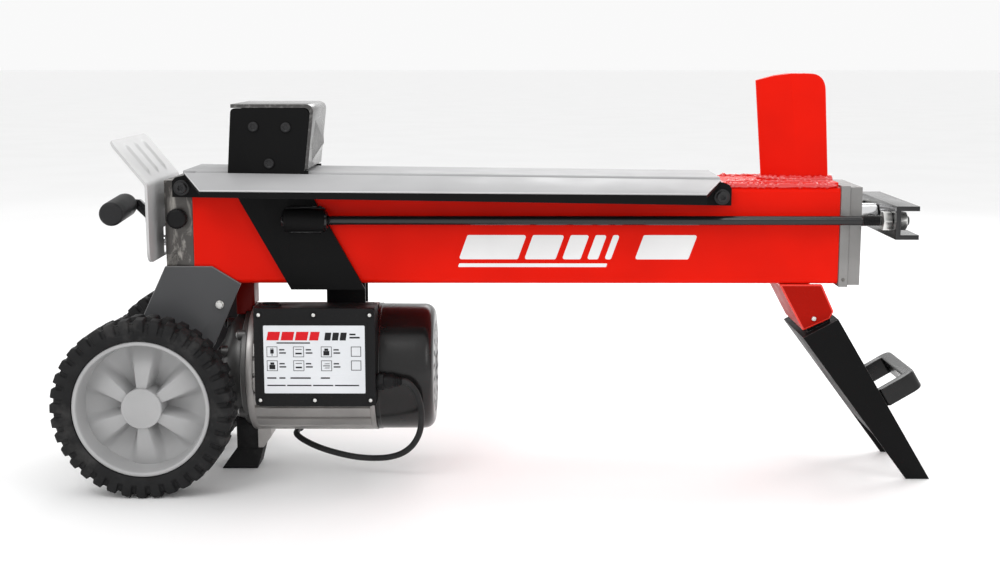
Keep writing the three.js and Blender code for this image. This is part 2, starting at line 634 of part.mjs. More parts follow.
// ---- leg ----------------------------------------------------------------------------------
function stubGeometry() {
  const { stubHalf, wall } = LEG;
  const top = BEAM.bottom - GAP;
  const outline = shapeOf([[299.4, top], [327.1, 164.5], [356, 177.5], [360.3, 185.7], [346.2, top]]);
  const inside = shapeOf([[304.5, 217], [331.5, 165], [340, 140], [400, 140], [400, 240], [304.5, 240]]);
  return cut(plateXZ(outline, -stubHalf, stubHalf), plateXZ(inside, -stubHalf + wall, stubHalf - wall));
}

// folded channel: tapered flanges that reach the ground, web on the wheel side, and a tongue that
// slides into the stub
function legGeometry() {
  const { half, wall, stubHalf } = LEG;
  const flange = shapeOf([[325.7, 158.3], [363.6, 178.9], [470, 0], [444, 0]]);
  const inside = shapeOf([[331.6, 157], [384.4, 185.7], [520, -40], [450.9, -2]]);
  const belowWeb = shapeOf([[300, 48.7], [420, 48.7], [520, -10], [300, -10]]);
  const channel = cut(plateXZ(flange, -half, half), plateXZ(inside, -half + wall, half - wall),
    plateXZ(belowWeb, -half + wall, half - wall));
  const side = shapeOf([[334.5, 158], [359, 172], [349, 196], [323.4, 190]]);
  const tongueOuter = stubHalf - wall - 0.5;
  const tongue = plateXZ(side, -tongueOuter, -tongueOuter + wall);
  return join(channel, tongue, mirrored(tongue));
}

// grip behind the leg: two arms and a crossbar, in a plane square to the leg's back edge
const HANDLE = { corner: [411.4, 99.2], angle: 0.541, reach: 44, arm: 13, depth: 21, half: 57 };

function handleGeometry() {
  const { corner, angle, reach, arm, depth, half } = HANDLE;
  const round = 13;
  const outline = new THREE.Shape();
  outline.moveTo(1, -half);
  outline.lineTo(reach - round, -half);
  outline.quadraticCurveTo(reach, -half, reach, -half + round);
  outline.lineTo(reach, half - round);
  outline.quadraticCurveTo(reach, half, reach - round, half);
  outline.lineTo(1, half);
  outline.lineTo(1, half - arm);
  outline.lineTo(reach - arm, half - arm);
  outline.lineTo(reach - arm, -half + arm);
  outline.lineTo(1, -half + arm);
  const grip = extruded(outline, depth);
  const lug = box(-22, 2, -half + arm, -LEG.half + LEG.wall + GAP, 0, depth);
  return join(grip, lug, mirrored(lug)).translate(0, 0, -depth).rotateY(-angle).translate(corner[0], 0, corner[1]);
}

// ---- the assembly -------------------------------------------------------------------------
add('beam', beamGeometry(), 'red');
add('bed_plate', bedPlateGeometry(), 'grey');
add('wedge', wedgeGeometry(), 'red');
add('end_flange', endPlateGeometry(FLANGE), 'steel');
add('end_cap', endPlateGeometry(CAP), 'steel');
add('cylinder_tube', ring('x', CYLINDER.outer, CYLINDER.bore, CYLINDER.left, CYLINDER.right, [0, RAM_Z], 32), 'steel');
add('valve_block', valveBlockGeometry(), 'darkSteel');
add('guard_plate', guardPlateGeometry(), 'grey');
addPair('table_frame', tableFrameGeometry(), 'black');
addPair('table_sheet', panelSlab(TABLE.inner, TABLE.outer, 0, TABLE.sheet), 'grey');

addPair('pusher_side', pusherSideGeometry(), 'black');
add('pusher_block', pusherBlockGeometry(), 'black');
add('pusher_face', pusherFaceGeometry(), 'black');
addPair('tie_rod', tieRodGeometry(), 'darkSteel');
add('crossbar', crossbarGeometry(), 'black');
addPair('rod_nut', hexNut(11, TIE_ROD.threadRadius + 0.2, CROSSBAR.left + CROSSBAR.wall + GAP, 430, -ROD_Y), 'steel');
add('piston_rod', pistonRodGeometry(), 'steel');
add('piston_nut', hexNut(13.6, PISTON_ROD.threadRadius + 0.2, CROSSBAR.left + CROSSBAR.wall + GAP, 432, 0), 'steel');
add('piston', rod('x', PISTON.radius, PISTON.left, PISTON.right, [0, RAM_Z], 28), 'steel');

add('lever_bracket', leverBracketGeometry(), 'darkSteel');
add('lever_bar', leverBarGeometry(), 'black');
add('lever_grip', leverGripGeometry(), 'plastic');
add('valve_plunger', plungerGeometry(), 'steel');
add('bleed_screw', bleedScrewGeometry(), 'plastic');

addPair('tyre', tyreGeometry(), 'rubber');
addPair('rim', rimGeometry(), 'rimPlastic');
addPair('hub_cap', hubCapGeometry(), 'rimPlastic');
add('axle', axleGeometry(), 'steel');
addPair('wheel_bracket', wheelBracketGeometry(), 'bracket');

add('pump_hanger', hangerGeometry(), 'red');
add('motor_bracket', motorBracketGeometry(), 'black');
add('motor_housing', motorHousingGeometry(), 'aluminium');
add('motor_flange', motorFlangeGeometry(), 'aluminium');
add('fan_cover', fanCoverGeometry(), 'plastic');
add('pump_housing', pumpHousingGeometry(), 'aluminium');
add('rubber_foot', footGeometry(), 'rubber');
add('stator', ring('x', 63.7, 38, -262, -172, motorAxis, 28), 'copper');
add('rotor', rotorGeometry(), 'steel');
add('cooling_fan', coolingFanGeometry(), 'plastic');

add('switch_box', switchBoxGeometry(), 'plastic');
add('box_cover', box(BOX.left, BOX.right, BOX.front, BOX.lid - GAP, BOX.bottom, BOX.top), 'plastic');
add('start_button', buttonGeometry(), 'plastic');
add('capacitor', capacitorGeometry(), 'aluminium');
add('cable_gland', glandGeometry(), 'plastic');
add('power_cord', cordGeometry(), 'rubber');
add('mains_plug', plugGeometry(), 'rubber');
add('cord_clip_front', clipGeometry('y', [-237, 37.5], 22, 30, box(-241.5, -232.5, 22, 30, 41.2, 46.1)), 'plastic');
add('cord_clip_rear', clipGeometry('x', [84, 76.6], -274, -265, box(-274, -265, 64.5, 84, 79.2, 82.4)), 'plastic');

add('leg_stub', stubGeometry(), 'red');
add('leg', legGeometry(), 'black');
add('carry_handle', handleGeometry(), 'plastic');

export default splitter;
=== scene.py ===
import json
import math
import random

import bmesh
import bpy
from mathutils import Matrix, Vector, noise


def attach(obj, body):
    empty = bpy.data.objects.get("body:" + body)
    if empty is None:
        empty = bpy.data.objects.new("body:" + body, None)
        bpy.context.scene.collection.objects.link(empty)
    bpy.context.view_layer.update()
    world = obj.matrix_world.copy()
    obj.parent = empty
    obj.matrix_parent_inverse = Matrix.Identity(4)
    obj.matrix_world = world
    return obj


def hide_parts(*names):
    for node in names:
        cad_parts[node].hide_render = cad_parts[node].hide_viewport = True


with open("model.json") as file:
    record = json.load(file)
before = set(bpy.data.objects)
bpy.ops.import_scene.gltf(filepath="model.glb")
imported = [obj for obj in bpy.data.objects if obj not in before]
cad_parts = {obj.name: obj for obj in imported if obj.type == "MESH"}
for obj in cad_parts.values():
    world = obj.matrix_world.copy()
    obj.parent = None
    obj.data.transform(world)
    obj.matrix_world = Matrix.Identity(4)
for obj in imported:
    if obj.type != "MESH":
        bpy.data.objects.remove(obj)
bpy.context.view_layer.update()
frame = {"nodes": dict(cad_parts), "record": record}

scene = bpy.context.scene
scene.view_settings.view_transform = "Standard"

# Shapes are written in millimetres in the machine's own numbers and moved here into the frame, in metres.
SHIFT_X = 3.0
TO_FRAME = Matrix.Scale(0.001, 4) @ Matrix.Translation((SHIFT_X, 0, 0))

BEAM_HALF = 50.0
BEAM_LOW, BEAM_HIGH = 216.5, 321.5
RAM_Z = 287.5
ROD_Y = 64.0
WHEEL_X = -380.5
WHEEL_R = 95.5
WHEEL_Y = 114.5
MOTOR_Z = 115.0
MOTOR_AXIS = (0, 0, MOTOR_Z)
RAM_AXIS = (0, 0, RAM_Z)
BODY_OF = {n: b for b, members in frame["record"]["behaviour"]["bodies"].items() for n in members}
SLOT_OF = {row["node"]: row["material_slot"] for row in frame["record"]["subparts"]}


# ---- camera ----
camera_data = bpy.data.cameras.new("camera")
camera = bpy.data.objects.new("camera", camera_data)
scene.collection.objects.link(camera)
camera.location = TO_FRAME @ Vector((5.6, -1626.1, 464.1))
camera.rotation_euler = (math.pi / 2 - 0.15425, 0, 0.00626)
camera_data.sensor_width = 36
camera_data.lens = 52.73
scene.camera = camera


# ---- materials ----
class Nodes:
    """Short names for the nodes of one material."""

    def __init__(self, name):
        self.material = bpy.data.materials.new(name)
        self.material.use_nodes = True
        self.tree = self.material.node_tree
        self.shader = self.tree.nodes["Principled BSDF"]
        self.place = self.new("ShaderNodeTexCoord").outputs["Object"]

    def new(self, kind, **values):
        node = self.tree.nodes.new(kind)
        for key, value in values.items():
            setattr(node, key, value)
        return node

    def link(self, source, target):
        self.tree.links.new(source, target)

    def stretched(self, scale, turn=(0, 0, 0)):
        mapping = self.new("ShaderNodeMapping")
        mapping.inputs["Scale"].default_value = scale
        mapping.inputs["Rotation"].default_value = turn
        self.link(self.place, mapping.inputs["Vector"])
        return mapping.outputs["Vector"]

    def noise(self, scale, detail=3.0, rough=0.5, vector=None, distortion=0.0):
        node = self.new("ShaderNodeTexNoise")
        node.inputs["Scale"].default_value = scale
        node.inputs["Detail"].default_value = detail
        node.inputs["Roughness"].default_value = rough
        node.inputs["Distortion"].default_value = distortion
        self.link(vector or self.place, node.inputs["Vector"])
        return node.outputs["Fac"]

    def spread(self, value, low, high, out_low=0.0, out_high=1.0):
        node = self.new("ShaderNodeMapRange")
        for key, number in (("From Min", low), ("From Max", high), ("To Min", out_low), ("To Max", out_high)):
            node.inputs[key].default_value = number
        self.link(value, node.inputs["Value"])
        return node.outputs["Result"]

    def blend(self, fac, a, b):
        node = self.new("ShaderNodeMix", data_type="RGBA")
        for socket, value in ((node.inputs["Factor"], fac), (node.inputs["A"], a), (node.inputs["B"], b)):
            if isinstance(value, tuple):
                socket.default_value = (*value, 1.0)
            else:
                self.link(value, socket)
        return node.outputs["Result"]

    def clouded(self, color, low, high, dark, light, **noise_values):
        """A colour that drifts between a darker and a lighter shade of itself."""
        cloud = self.spread(self.noise(**noise_values), low, high)
        return self.blend(cloud, shade(color, dark), shade(color, light))

    def scaled(self, value, factor):
        node = self.new("ShaderNodeMath", operation="MULTIPLY")
        node.inputs[1].default_value = factor
        self.link(value, node.inputs[0])
        return node.outputs["Value"]

    def bump(self, *layers):
        """Each layer is (height, strength, distance in metres)."""
        normal = None
        for height, strength, distance in layers:
            node = self.new("ShaderNodeBump")
            node.inputs["Strength"].default_value = strength
            node.inputs["Distance"].default_value = distance
            self.link(height, node.inputs["Height"])
            if normal:
                self.link(normal, node.inputs["Normal"])
            normal = node.outputs["Normal"]
        self.link(normal, self.shader.inputs["Normal"])

    def color(self, value):
        self.link(value, self.shader.inputs["Base Color"])

    def roughness(self, value):
        self.link(value, self.shader.inputs["Roughness"])

    def fixed(self, **values):
        for key, value in values.items():
            self.shader.inputs[key.replace("_", " ")].default_value = value


def shade(color, factor):
    return tuple(channel * factor for channel in color)


def painted(name, color, rough, coat=0.0, dust=0.04, peel=0.06, grain=0.0, edge=0.0, level=0.3):
    """Sprayed paint: a little cloudiness, orange peel, fine dust and chips where it is thin."""
    m = Nodes(name)
    mottled = m.clouded(color, 0.35, 0.65, 0.93, 1.06, scale=9, detail=3)
    specks = m.spread(m.noise(900, 2), 0.66, 0.74, 0.0, dust)
    dusty = m.blend(specks, mottled, (0.45, 0.43, 0.4))
    if edge:
        wear = m.spread(m.noise(210, 5, 0.6), 0.5, 0.68, 0.0, edge)
        dusty = m.blend(wear, dusty, (0.30, 0.29, 0.28))
    m.color(dusty)
    smears = m.noise(24, 4, vector=m.stretched((1, 1, 2.5)))
    m.roughness(m.spread(smears, 0.3, 0.7, rough * 0.85, rough * 1.2))
    layers = [(m.noise(420, 2), peel, 0.0006)]
    if grain:
        layers.append((m.noise(2600, 2), grain, 0.0004))
    m.bump(*layers)
    m.fixed(Coat_Weight=coat, Coat_Roughness=0.08, Specular_IOR_Level=level)
    return m.material


def bare_metal(name, color, rough, metallic=1.0, along=(1, 1, 1), marks=0.0, mark_color=(0.1, 0.1, 0.1)):
    """Machined or plated metal with fine lines along one direction, and stains."""
    m = Nodes(name)
    lines = m.noise(260, 4, 0.6, vector=m.stretched(along))
    base = m.clouded(color, 0.3, 0.7, 0.86, 1.08, scale=30, detail=4)
    if marks:
        slanted = m.stretched((1.6, 1, 0.55), (0, 0.5, 0))
        stain = m.spread(m.noise(46, 6, 0.65, vector=slanted, distortion=0.6), 0.5, 0.64)
        base = m.blend(m.scaled(stain, marks), base, mark_color)
    m.color(base)
    m.roughness(m.spread(lines, 0.25, 0.75, rough * 0.75, rough * 1.3))
    m.bump((lines, 0.03, 0.0002), (m.noise(70, 3), 0.03, 0.001))
    m.fixed(Metallic=metallic)
    return m.material


def cast_metal(name, color, rough, metallic=0.75):
    """Cast metal with a pitted skin."""
    m = Nodes(name)
    base = m.clouded(color, 0.3, 0.7, 0.88, 1.08, scale=22, detail=4)
    pits = m.spread(m.noise(900, 3), 0.62, 0.72, 0.0, 0.3)
    m.color(m.blend(pits, base, shade(color, 0.5)))
    m.roughness(m.spread(m.noise(60, 3), 0.3, 0.7, rough * 0.85, rough * 1.2))
    m.bump((m.noise(700, 3), 0.16, 0.0005), (m.noise(90, 3), 0.05, 0.001))
    m.fixed(Metallic=metallic)
    return m.material


def moulded(name, color, rough, grain=0.12, scale=1500, dust=0.05, level=0.25):
    """Moulded plastic with a fine spark-eroded grain."""
    m = Nodes(name)
    base = m.clouded(color, 0.35, 0.65, 0.93, 1.07, scale=14, detail=3)
    specks = m.spread(m.noise(700, 2), 0.66, 0.75, 0.0, dust)
    m.color(m.blend(specks, base, (0.3, 0.3, 0.3)))
    m.roughness(m.spread(m.noise(40, 4), 0.3, 0.7, rough * 0.85, rough * 1.15))
    m.bump((m.noise(scale, 2), grain, 0.0003), (m.noise(60, 2), 0.03, 0.001))
    m.fixed(Specular_IOR_Level=level)
    return m.material


def rubber(name, color, rough, dust=0.25):
    """Matt rubber with patches of dust."""
    m = Nodes(name)
    base = m.clouded(color, 0.35, 0.7, 0.75, 1.25, scale=60, detail=5, rough=0.6)
    powder = m.spread(m.noise(26, 5, 0.65), 0.52, 0.72, 0.0, dust)
    m.color(m.blend(powder, base, (0.14, 0.135, 0.13)))
    m.roughness(m.spread(m.noise(80, 3), 0.3, 0.7, rough * 0.9, min(1.0, rough * 1.12)))
    m.bump((m.noise(1300, 3), 0.22, 0.0004), (m.noise(180, 3), 0.12, 0.0006))
    m.fixed(Specular_IOR_Level=0.2)
    return m.material


RED = painted("red_enamel", (0.72, 0.008, 0.0015), 0.36, coat=0.03, dust=0.012, peel=0.05, level=0.05)
# darker copy of the red enamel for the pump hanger: painted shade where the hanger sits in shadow
RED_PAINTED_SHADE = painted("red_enamel_painted_shade", (0.16, 0.004, 0.002), 0.4, dust=0.03, peel=0.06, level=0.1)
# darker copy of the red enamel for the leg stub: painted shade from the beam above
RED_STUB_PAINTED_SHADE = painted("red_enamel_stub_painted_shade", (0.36, 0.006, 0.002), 0.4, dust=0.02, peel=0.06, level=0.05)
# lighter, glossier red for bevels: painted edge highlight
RED_EDGE_HIGHLIGHT = painted("red_enamel_painted_edge_highlight", (0.80, 0.03, 0.015), 0.25, coat=0.4, dust=0.0, peel=0.04, level=0.4)
RED_THICK = painted("red_enamel_on_weld", (0.66, 0.010, 0.008), 0.12, coat=1.0, dust=0.0, peel=0.10, level=0.6)
BLACK = painted("black_powder_coat", (0.0072, 0.0072, 0.0074), 0.42, dust=0.02, peel=0.08, grain=0.05, level=0.05)
# lighter black for bevels: painted edge highlight, with worn paint chips
BLACK_EDGE_HIGHLIGHT_AND_WEAR = painted("black_powder_coat_edge_highlight_and_wear", (0.018, 0.018, 0.018), 0.3, dust=0.02, peel=0.05,
                     edge=0.35, level=0.5)
PUSHER_FINISH = painted("worn_black_enamel", (0.030, 0.028, 0.027), 0.25, coat=0.3, dust=0.05, peel=0.08,
                        edge=0.3, level=0.55)
BLACK_GLOSS = painted("black_enamel", (0.011, 0.011, 0.012), 0.22, coat=0.15, dust=0.03, peel=0.07, level=0.4)
SHEET_GREY = painted("light_grey_enamel", (0.38, 0.38, 0.385), 0.42, dust=0.08, peel=0.05, level=0.1)
GUARD_GREY = painted("guard_enamel", (0.52, 0.52, 0.52), 0.4, dust=0.06, peel=0.05, level=0.2)
# lighter grey for bevels: painted edge highlight, with worn paint chips
SHEET_EDGE_HIGHLIGHT_AND_WEAR = painted("light_grey_enamel_edge_highlight_and_wear", (0.62, 0.62, 0.62), 0.3, dust=0.0, peel=0.04, edge=0.2, level=0.5)
BRACKET_GREY = painted("dark_grey_enamel", (0.062, 0.063, 0.066), 0.36, coat=0.05, dust=0.04, peel=0.06, level=0.3)
# lighter dark grey for bevels: painted edge highlight, with worn paint chips
BRACKET_EDGE_HIGHLIGHT_AND_WEAR = painted("dark_grey_enamel_edge_highlight_and_wear", (0.16, 0.16, 0.165), 0.3, dust=0.0, peel=0.05, edge=0.3, level=0.5)
WHITE_FILM = painted("white_film", (0.84, 0.84, 0.84), 0.35, dust=0.03, peel=0.02)
PLATE_GREY = cast_metal("end_plate_casting", (0.25, 0.245, 0.24), 0.5, 0.5)
ZINC = bare_metal("zinc_plating", (0.72, 0.72, 0.70), 0.33, along=(1, 1, 4))
CHROME = bare_metal("hard_chrome", (0.74, 0.74, 0.75), 0.14, along=(0.2, 4, 4))
STEEL = bare_metal("turned_steel", (0.46, 0.46, 0.47), 0.3, along=(6, 1, 1))
VALVE_STEEL = bare_metal("milled_steel", (0.085, 0.08, 0.076), 0.42, 0.6, along=(0.4, 1, 3), marks=0.75,
                         mark_color=(0.42, 0.40, 0.37))
BLACK_STEEL = bare_metal("blackened_steel", (0.022, 0.022, 0.023), 0.34, 0.5, along=(0.3, 3, 3))
ALUMINIUM = cast_metal("motor_aluminium", (0.40, 0.385, 0.375), 0.42)
# light alloy darkened for the pump casting: painted shade low under the motor
ALUMINIUM_PAINTED_SHADE = cast_metal("pump_casting", (0.085, 0.084, 0.083), 0.4, 0.6)
COPPER = bare_metal("copper_windings", (0.62, 0.28, 0.13), 0.35, along=(0.3, 6, 6))
BLACK_PLASTIC = moulded("black_plastic", (0.0075, 0.0075, 0.008), 0.44, level=0.15)
COVER_PLASTIC = moulded("fan_cover_plastic", (0.0065, 0.006, 0.006), 0.24, grain=0.05, scale=900, level=0.4)
GRIP_PLASTIC = moulded("grip_plastic", (0.014, 0.014, 0.015), 0.5, grain=0.25, scale=1100)
HANDLE_PLASTIC = moulded("handle_plastic", (0.006, 0.006, 0.0062), 0.28, grain=0.12, scale=1200, level=0.3)
RIM_PLASTIC = moulded("rim_plastic", (0.39, 0.39, 0.392), 0.42, grain=0.06, dust=0.10, level=0.3)
TYRE_RUBBER = rubber("tyre_rubber", (0.011, 0.011, 0.0115), 0.66, dust=0.2)
CORD_RUBBER = rubber("cord_rubber", (0.018, 0.018, 0.0185), 0.5, dust=0.08)
FOOT_RUBBER = rubber("foot_rubber", (0.007, 0.007, 0.0075), 0.6, dust=0.12)
LABEL_FILM = painted("label_film", (0.70, 0.72, 0.745), 0.4, dust=0.02, peel=0.02)
LABEL_INK = painted("label_ink", (0.012, 0.012, 0.014), 0.45, dust=0.0, peel=0.02, level=0.2)
LABEL_RED = painted("label_red", (0.62, 0.006, 0.012), 0.45, dust=0.0, peel=0.02, level=0.2)
# light alloy darkened for the motor's end shield: painted shade where it falls dark below
SHIELD_PAINTED_SHADE = cast_metal("end_shield_casting_painted_shade", (0.11, 0.108, 0.106), 0.42, 0.6)
# the material of a piece's bevels: a lighter, glossier copy of its paint as a painted edge highlight, with worn
# paint chips on the black, grey and dark grey copies
EDGE_HIGHLIGHT_OF = {
    RED: RED_EDGE_HIGHLIGHT, RED_STUB_PAINTED_SHADE: RED_EDGE_HIGHLIGHT, BLACK: BLACK_EDGE_HIGHLIGHT_AND_WEAR, BLACK_GLOSS: BLACK_EDGE_HIGHLIGHT_AND_WEAR,
    SHEET_GREY: SHEET_EDGE_HIGHLIGHT_AND_WEAR, GUARD_GREY: SHEET_EDGE_HIGHLIGHT_AND_WEAR, BRACKET_GREY: BRACKET_EDGE_HIGHLIGHT_AND_WEAR,
}

FINISH = {
    "red_paint": RED, "black_paint": BLACK, "grey_paint": SHEET_GREY, "bracket_paint": BRACKET_GREY,
    "bright_steel": ZINC, "dark_steel": BLACK_STEEL, "cast_aluminium": ALUMINIUM, "copper_windings": COPPER,
    "black_plastic": BLACK_PLASTIC, "rim_plastic": RIM_PLASTIC, "tyre_rubber": TYRE_RUBBER,
    "black_rubber": FOOT_RUBBER,
}


# ---- mesh helpers ----
def piece(name, bm, material, node=None, body="chassis", slot=None, **edges):
    """A finished piece from a bmesh in millimetres. It takes a CAD node's place. Its slot argument is not used."""
    bmesh.ops.remove_doubles(bm, verts=bm.verts, dist=0.002)
    bmesh.ops.recalc_face_normals(bm, faces=bm.faces)
    bm.transform(TO_FRAME)
    return dress(name, bm, material, node, body, slot, **edges)


def refined(node, material=None, bevel=0.8, name=None, **edges):
    """The CAD node's own shape with its flat faces merged and its edges rounded."""
    bm = bmesh.new()
    bm.from_mesh(frame["nodes"][node].data)
    bmesh.ops.remove_doubles(bm, verts=bm.verts, dist=2e-6)
    bmesh.ops.dissolve_limit(bm, angle_limit=math.radians(1), verts=bm.verts, edges=bm.edges)
    bmesh.ops.recalc_face_normals(bm, faces=bm.faces)
    material = material or FINISH[SLOT_OF[node]]
    return dress(name or node + "_shape", bm, material, node, bevel=bevel, **edges)


def dress(name, bm, material, node=None, body=None, slot=None, bevel=0.0, segments=3, angle=30):
    """Gives a bmesh in metres its materials, its edges and its body. Its slot argument is not used."""
    mesh = bpy.data.meshes.new(name)
    bm.to_mesh(mesh)
    bm.free()
    obj = bpy.data.objects.new(name, mesh)
    scene.collection.objects.link(obj)
    finishes = material if isinstance(material, list) else [material]
    # the bevels take a lighter copy of the paint: a painted edge highlight
    edge = EDGE_HIGHLIGHT_OF.get(finishes[0]) if bevel else None
    for item in finishes + ([edge] if edge else []):
        mesh.materials.append(item)
    mesh.shade_smooth()
    if bevel:
        cut = obj.modifiers.new("edges", "BEVEL")
        cut.width = bevel * 0.001
        cut.segments = segments
        cut.limit_method = "ANGLE"
        cut.angle_limit = math.radians(angle)
        cut.harden_normals = True
        cut.miter_outer = "MITER_ARC"
        if edge:
            cut.material = len(finishes)
    else:
        mesh.set_sharp_from_angle(angle=math.radians(angle))
    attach(obj, BODY_OF[node] if node else body)
    if node:
        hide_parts(node)
    return obj


def skin(bm, rings, loop=False):
    """Faces from each ring of vertices to the next. A ring may be a single point."""
    count = max(len(ring) for ring in rings)
    for near, far in zip(rings, rings[1:] + rings[:1] if loop else rings[1:]):
        for i in range(count):
            j = (i + 1) % count
            corners = [near[i % len(near)], near[j % len(near)], far[j % len(far)], far[i % len(far)]]
            corners = list(dict.fromkeys(corners))
            if len(corners) > 2:
                bm.faces.new(corners)


def turned(bm, profile, axis="z", centre=(0, 0, 0), segments=48, closed=False, matrix=None):
    """Sweeps (radius, distance along the axis) points round an axis; a radius may be a function of the angle."""
    rings = []
    for radius, along in profile:
        ring = []
        for i in range(1 if radius == 0 else segments):
            turn = 2 * math.pi * i / segments
            r = radius(turn) if callable(radius) else radius
            a, b = r * math.cos(turn), r * math.sin(turn)
            spot = Vector({"x": (along, a, b), "y": (a, along, b), "z": (a, b, along)}[axis])
            if matrix is not None:
                spot = matrix @ spot
            ring.append(bm.verts.new(spot + Vector(centre)))
        rings.append(ring)
    skin(bm, rings, closed)


def prism(bm, outline, axis, low, high):
    """An outline given thickness along an axis. Outlines are (x, z) for y and (y, z) for x."""
    rings = []
    for along in (low, high):
        rings.append([bm.verts.new((along, a, b) if axis == "x" else (a, along, b)) for a, b in outline])
    skin(bm, rings)
    for ring in rings:
        bm.faces.new(ring)


def rounded(points, radius, steps=6):
    """The outline with each corner replaced by an arc; radius is one number or one per corner."""
    result = []
    count = len(points)
    for i, corner in enumerate(points):
        r = radius[i] if isinstance(radius, (list, tuple)) else radius
        here = Vector(corner)
        before = Vector(points[i - 1]) - here
        after = Vector(points[(i + 1) % count]) - here
        if r <= 0:
            result.append(tuple(here))
            continue
        half = before.angle(after) / 2
        reach = min(r / math.tan(half), before.length * 0.49, after.length * 0.49)
        r = reach * math.tan(half)
        middle = here + (before.normalized() + after.normalized()).normalized() * (r / math.sin(half))
        first = here + before.normalized() * reach - middle
        last = here + after.normalized() * reach - middle
        sweep = first.angle_signed(last)
        for k in range(steps + 1):
            turn = Matrix.Rotation(-sweep * k / steps, 2)
            result.append(tuple(middle + turn @ first))
    return result


def rectangle(x0, x1, y0, y1):
    return [(x0, y0), (x1, y0), (x1, y1), (x0, y1)]


def aim(direction):
    """Turns +Z to a direction."""
    return Vector((0, 0, 1)).rotation_difference(Vector(direction)).to_matrix()


def hexagon(across):
    """The radius of a hexagon at an angle, from its width across flats."""
    def radius(turn):
        return across / 2 / math.cos((turn % (math.pi / 3)) - math.pi / 6)
    return radius


def hex_bolt(bm, centre, direction, across, height, washer):
    """Hexagon head on a washer of the given radius."""
    lift = 1.5
    m = aim(direction)
    turned(bm, [(0, 0), (washer - 0.3, 0), (washer, 0.3), (washer, 1.2), (washer - 0.3, lift), (0, lift)],
           centre=centre, segments=28, matrix=m)
    turned(bm, [(0, lift), (hexagon(across), lift), (hexagon(across), lift + height * 0.8),
                (across * 0.5, lift + height), (across * 0.3, lift + height * 1.02), (0, lift + height * 1.02)],
           centre=centre, segments=24, matrix=m)


def socket_bolt(bm, centre, direction, radius, height, across):
    """Cylinder head with a hexagon socket."""
    m = aim(direction)
    turned(bm, [(0, 0), (radius, 0), (radius, height - 0.7), (radius - 0.7, height), (across * 0.62, height),
                (hexagon(across), height - 0.4), (hexagon(across * 0.98), height * 0.35), (0, height * 0.3)],
           centre=centre, segments=36, matrix=m)


def cross_screw(bm, centre, direction, radius, height):
    """Pan head with a cross recess."""
    def cross(turn):
        return radius * (0.2 + 0.38 * abs(math.cos(2 * turn)) ** 3)
    m = aim(direction)
    turned(bm, [(0, 0), (radius, 0), (radius * 0.98, height * 0.4), (radius * 0.82, height * 0.8),
                (radius * 0.64, height), (cross, height * 0.98), (cross, height * 0.45), (0, height * 0.4)],
           centre=centre, segments=32, matrix=m)


def fasteners(name, head, spots, direction, sizes, material, mirrored=True, **place):
    """One piece with the same head at each spot, and on the far side too if mirrored."""
    bm = bmesh.new()
    for spot in spots:
        head(bm, spot, direction, *sizes)
    if mirrored:
        mirror_copy(bm)
    piece(name, bm, material, angle=35, **place)


def mirror_copy(bm):
    """Adds the mirror image in the machine's middle plane."""
    twin = bmesh.ops.duplicate(bm, geom=bm.verts[:] + bm.edges[:] + bm.faces[:])["geom"]
    for item in twin:
        if isinstance(item, bmesh.types.BMVert):
            item.co.y = -item.co.y
    bmesh.ops.reverse_faces(bm, faces=[item for item in twin if isinstance(item, bmesh.types.BMFace)])


def weld_bead(bm, path, radius, seed, wobble=0.25, closed=False, sections=10, step=1.3):
    """A lumpy bead along a path of points, with the ripples that a weld freezes into."""
    points = [Vector(p) for p in path] + ([Vector(path[0])] if closed else [])
    line = []
    for a, b in zip(points, points[1:]):
        count = max(2, int((b - a).length / step))
        line += [a.lerp(b, k / count) for k in range(count)]
    if not closed:
        line.append(points[-1])
    rings = []
    for i, spot in enumerate(line):
        ahead = line[(i + 1) % len(line)] if closed else line[min(i + 1, len(line) - 1)]
        behind = line[i - 1] if closed or i else line[0]
        along = (ahead - behind).normalized()
        side = along.cross(Vector((0, 0, 1)) if abs(along.z) < 0.9 else Vector((1, 0, 0))).normalized()
        up = side.cross(along)
        ripple = 1 + 0.14 * math.sin(i * 1.9) + wobble * noise.noise(Vector((seed, i * 0.35, 0)))
        ends = 1.0 if closed else min(1.0, 0.35 + 0.3 * min(i, len(line) - 1 - i))
        ring = []
        for k in range(sections):
            turn = 2 * math.pi * k / sections
            r = radius * ripple * ends * (1 + 0.12 * noise.noise(Vector((i * 0.7, k * 0.9, seed))))
            ring.append(bm.verts.new(spot + side * r * math.cos(turn) + up * r * math.sin(turn)))
        rings.append(ring)
    skin(bm, rings, closed)
    if not closed:
        bm.faces.new(rings[0][::-1])
        bm.faces.new(rings[-1])


# ---- supply cord ----
CORD_RADIUS = 3.4
CORD_ROUTE = [
    (-109.7, -84, 115.2), (-106.5, -84, 115.2), (-101, -83.2, 111.5), (-95, -81, 103), (-91, -78, 90),
    (-89.5, -75, 76), (-90.5, -72, 62), (-94, -69, 50), (-101, -65, 38.5), (-112, -60, 29), (-127, -54, 22.8),
    (-146, -48, 20), (-166, -43, 20.2), (-190, -37, 23.8), (-211, -29, 28.5), (-228, -18, 33.8),
    (-236, -6, 36.5), (-237, 8, 37), (-237, 27, 37.5), (-237, 48, 41), (-239, 67, 51), (-246, 80, 64),
    (-257, 84, 74), (-270, 84, 77), (-288, 82, 73), (-304, 78, 62), (-317, 73, 46), (-328, 67, 29),
    (-338, 61, 14), (-348, 55, 5.5), (-357, 49, 3.6), (-367, 43, 3.6), (-377, 38, 5), (-386, 35, 9.5),
    (-395, 33.5, 14.5), (-405, 33, 16.8), (-411.7, 33, 17.2),
]


